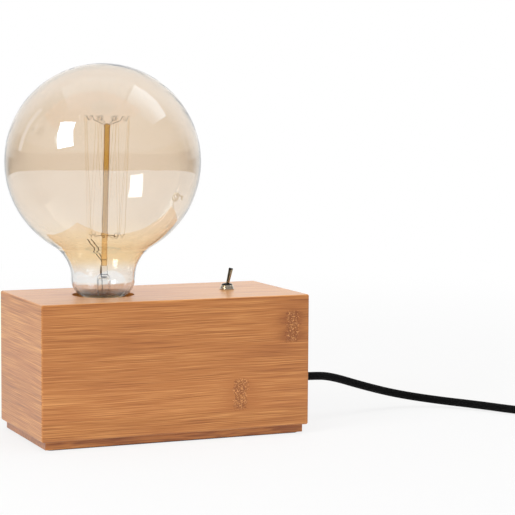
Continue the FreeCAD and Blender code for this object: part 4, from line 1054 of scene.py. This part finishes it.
def make_cage():
    """Hooks at the rod's top and foot, and the strand that zigzags between them."""
    apart = 360 / HOOKS
    upper_at = [CAGE_BEARING + apart * (k + 0.5) for k in range(HOOKS)]
    lower_at = [CAGE_BEARING + apart * (k + 1) for k in range(HOOKS - 1)]
    upper = [
        hook(UPPER_ARM, UPPER_SPRING, bearing, 0.5 * math.sin(2.3 * k))
        for k, bearing in enumerate(upper_at)
    ]
    lower = [hook(LOWER_ARM, LOWER_SPRING, bearing) for bearing in lower_at]
    strand = [in_cage_plane(*LEAD_ENDS[0]), *bend(upper_at[0], *UPPER_BEND)]
    for low, high in zip(lower_at, upper_at[1:]):
        strand += bend(low, *LOWER_BEND) + bend(high, *UPPER_BEND)
    strand.append(in_cage_plane(*LEAD_ENDS[1]))
    steel = MATERIALS["support_wire"]
    wires("upper_hooks", upper, UPPER_WIRE, steel, "support_wire", "upper_supports")
    wires("lower_hooks", lower, LOWER_WIRE, steel, "support_wire", "lower_supports")
    wires("strands", [strand], STRAND_WIRE, MATERIALS["filament"], "filament", "filament")


def make_leads():
    for name, lines, radius, replaced in (
        ("leads", LEADS, LEAD_WIRE, ["lead_wires"]),
        ("lead_feet", LEAD_FEET, FOOT_WIRE, []),
    ):
        spots = [[in_cage_plane(*spot) for spot in line] for line in lines]
        wires(name, spots, radius, MATERIALS["lead_wire"], "support_wire", *replaced)


make_cage()
make_leads()

# ---------------------------------------- the pad under the base

PAD_CORNER, PAD_HOLE, PAD_HOLES_X, PAD_HOLES_Y = 3.0, 4.5, (-74, 74), (-29, 29)


def make_felt():
    """The felt, with rounded corners and a round opening over each screw head."""
    low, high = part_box("base_felt")
    wide, deep = high.x / MM, high.y / MM
    loops = [rounded_loop((-wide, -deep), (wide, deep), PAD_CORNER)]
    for x in PAD_HOLES_X:
        for y in PAD_HOLES_Y:
            loops.append([
                (x + PAD_HOLE * math.cos(math.tau * k / 24),
                 y + PAD_HOLE * math.sin(math.tau * k / 24)) for k in range(24)
            ])
    mesh = bmesh.new()
    edges = []
    for loop in loops:
        spots = [mesh.verts.new((x * MM, y * MM, 0)) for x, y in dict.fromkeys(loop)]
        edges += [mesh.edges.new(pair) for pair in zip(spots, spots[1:] + spots[:1])]
    made = bmesh.ops.triangle_fill(mesh, use_beauty=True, use_dissolve=False, edges=edges)
    faces = [f for f in made["geom"] if isinstance(f, bmesh.types.BMFace)]
    grown = bmesh.ops.extrude_face_region(mesh, geom=faces)
    for v in grown["geom"]:
        if isinstance(v, bmesh.types.BMVert):
            v.co.z = high.z - low.z
    bmesh.ops.recalc_face_normals(mesh, faces=mesh.faces)
    piece("felt_pad", mesh_from("felt_pad", mesh), "base", MATERIALS["felt"], "felt",
          "base_felt")


make_felt()

# ---------------------------------------- the studio

FLOOR_REACH = 60.0
FLOOR_DARK, FLOOR_LIGHT = (0.78,) * 3, (0.82,) * 3
# The floor goes from its own shading to plain white between these distances.
FLOOR_OWN, FLOOR_WHITE, FLOOR_WHITE_SHARE = 150.0, 1100.0, 0.78
# Light on the object from all round, and the dim studio that reflections show.
AMBIENT, DIM_LOW, DIM_HIGH = 0.55, 0.08, 0.21
# Its parts: the white ahead, the horizon's edge, the ceiling's glow.
BACKDROP, HORIZON, CEILING, CEILING_GLOW = (0.45, 0.95), (0.20, 0.27), (0.65, 1.0), 0.25
# In reflections the bright table ends at this distance, except towards the sweep behind it.
TABLE_END, TABLE_FADE, SWEEP = 1350.0, 90.0, (0.6, 0.9)
KEY_WAY, CEILING_HIGH = (-0.804, -0.331, 0.493), 1.5
# Reflections seen through glass are weaker by these shares.
TABLE_BEHIND_GLASS, CARD_BEHIND_GLASS = 0.4, 0.45


def ray_kinds(shade):
    """1 where a ray is from the camera, also through glass, and 1 where it was mirrored."""
    bounced = shade.math("MINIMUM", shade.ray("Glossy Depth"), 1.0)
    through = shade.ray("Is Transmission Ray") * (1 - bounced)
    return shade.ray("Is Camera Ray") + through, shade.ray("Is Glossy Ray") * bounced


def make_floor():
    """A pale floor that keeps the shadow and runs out to white."""
    mesh = bpy.data.meshes.new("floor")
    mesh.from_pydata([
        (-FLOOR_REACH, -FLOOR_REACH, 0), (FLOOR_REACH, -FLOOR_REACH, 0),
        (FLOOR_REACH, FLOOR_REACH, 0), (-FLOOR_REACH, FLOOR_REACH, 0),
    ], [], [(0, 1, 2, 3)])
    add("floor", mesh)
    shade = new_shade("floor")
    x, y, _ = shade.spot()
    away = shade.math("SQRT", x * x + y * y)
    mottle = shade.noise(shade.vector(x, y, 0.0), 0.02, 3, 0.5)
    plain = shade.principled(
        Base_Color=shade.mix(mottle * 0.3, FLOOR_DARK, FLOOR_LIGHT), Roughness=0.85,
        Specular_IOR_Level=0.2,
    )
    table = shade.ramp(away, TABLE_END, TABLE_END + TABLE_FADE, 1.0, DIM_LOW)
    table = table + (1 - table) * shade.ramp((x * AHEAD.x + y * AHEAD.y) / away, *SWEEP)
    seen, mirrored = ray_kinds(shade)
    behind_glass = shade.ray("Is Transmission Ray") * TABLE_BEHIND_GLASS
    strength = seen + mirrored * table * (1 - behind_glass)
    whiter = shade.ramp(away, FLOOR_OWN, FLOOR_WHITE, FLOOR_WHITE_SHARE, 1.0)
    mesh.materials.append(shade.finish(
        shade.blend((seen + mirrored) * whiter, plain, shade.glow(strength))))


def make_world():
    """White where it is seen, plain soft light elsewhere, and a dim studio in reflections."""
    world = bpy.data.worlds.new("studio")
    bpy.context.scene.world = world
    shade = Shade(world, "OutputWorld")
    east, north, up = shade.split(shade.node("TexCoord").outputs["Generated"])
    backdrop = shade.ramp(east * AHEAD.x + north * AHEAD.y + up * 0.5, *BACKDROP)
    haze = shade.ramp(up, *HORIZON, DIM_LOW, DIM_HIGH)
    haze = haze + shade.ramp(up, *CEILING, 0.0, CEILING_GLOW)
    studio = backdrop + haze * (1 - backdrop)
    seen, mirrored = ray_kinds(shade)
    level = seen + mirrored * studio + (1 - seen - mirrored) * AMBIENT
    shade.finish(shade.node("Background", {"Color": WHITE, "Strength": level}).outputs[0])


def softbox(name, way, far, size, level, roll=0.0):
    """A rectangular lamp of a given radiance, which faces the globe and isn't seen."""
    data = bpy.data.lights.new(name, "AREA")
    data.shape, data.size, data.size_y = "RECTANGLE", *size
    data.energy = level * math.pi * size[0] * size[1]
    lamp = add(name, data)
    lamp.visible_camera = lamp.visible_transmission = lamp.visible_glossy = False
    way = Vector(way).normalized()
    facing = (-way).to_track_quat("-Z", "Y").to_matrix().to_4x4()
    lamp.matrix_world = (
        Matrix.Translation(GLOBE_MIDDLE + way * far) @ facing @ Matrix.Rotation(roll, 4, "Z")
    )


def card(name, corners, level, fade=(1.0, 1.0)):
    """A bright board that only reflections show, from its near end's level to its far end's."""
    mesh = bpy.data.meshes.new(name)
    mesh.from_pydata([tuple(c) for c in corners], [], [(0, 1, 2, 3)])
    layer = mesh.uv_layers.new(name="UVMap")
    layer.data.foreach_set("uv", [0, 0, 1, 0, 1, 1, 0, 1])
    board = add(name, mesh)
    board.visible_camera = board.visible_diffuse = board.visible_shadow = False
    shade = new_shade(name)
    far = shade.split(shade.node("TexCoord").outputs["UV"])[1]
    glow = shade.glow(shade.ramp(far, 0.0, 1.0, *fade) * level)
    behind_glass = shade.ray("Is Transmission Ray") * CARD_BEHIND_GLASS
    shown = ray_kinds(shade)[1] * (1 - behind_glass)
    mesh.materials.append(shade.finish(shade.blend(shown, shade.clear(WHITE), glow)))


def facing_card(name, way, far, size, level, roll=0.0):
    """A card in a direction from the globe, turned to it."""
    way = Vector(way).normalized()
    turned = (-way).to_track_quat("-Z", "Y").to_matrix() @ Matrix.Rotation(roll, 3, "Z")
    x, y = size[0] / 2, size[1] / 2
    card(name, [
        GLOBE_MIDDLE + way * far + turned @ Vector(c) for c in
        ((-x, -y, 0), (x, -y, 0), (x, y, 0), (-x, y, 0))
    ], level)


def ceiling_card(name, aside, ahead, level, fade):
    """A level board over the globe: its reach to the camera's right and away, per height."""
    middle = GLOBE_MIDDLE + Z * CEILING_HIGH
    card(name, [
        middle + (ASIDE * aside[i] + AHEAD * ahead[j]) * CEILING_HIGH
        for i, j in ((0, 0), (1, 0), (1, 1), (0, 1))
    ], level, fade)


make_floor()
make_world()
softbox("key", KEY_WAY, 1.2, (0.60, 0.72), level=4.5, roll=math.radians(12))
softbox("above", (0.2, -0.2, 1.0), 1.6, (1.4, 1.4), level=2.1)
softbox("fill", (-0.35, -0.95, 0.35), 2.2, (1.6, 1.2), level=1.5)
facing_card("key_card", KEY_WAY, 1.2, (0.36, 0.58), level=14.0, roll=math.radians(15))
facing_card("strip_card", (-0.693, 0.593, 0.371), 1.3, (0.16, 0.75), level=0.8)
ceiling_card("ceiling_left", (-0.62, 0.345), (-0.37, 0.50), level=1.15, fade=(0.48, 1.0))
ceiling_card("ceiling_right", (0.385, 1.35), (-0.30, 0.50), level=2.1, fade=(0.25, 1.0))
bpy.context.scene.view_settings.view_transform = "Standard"
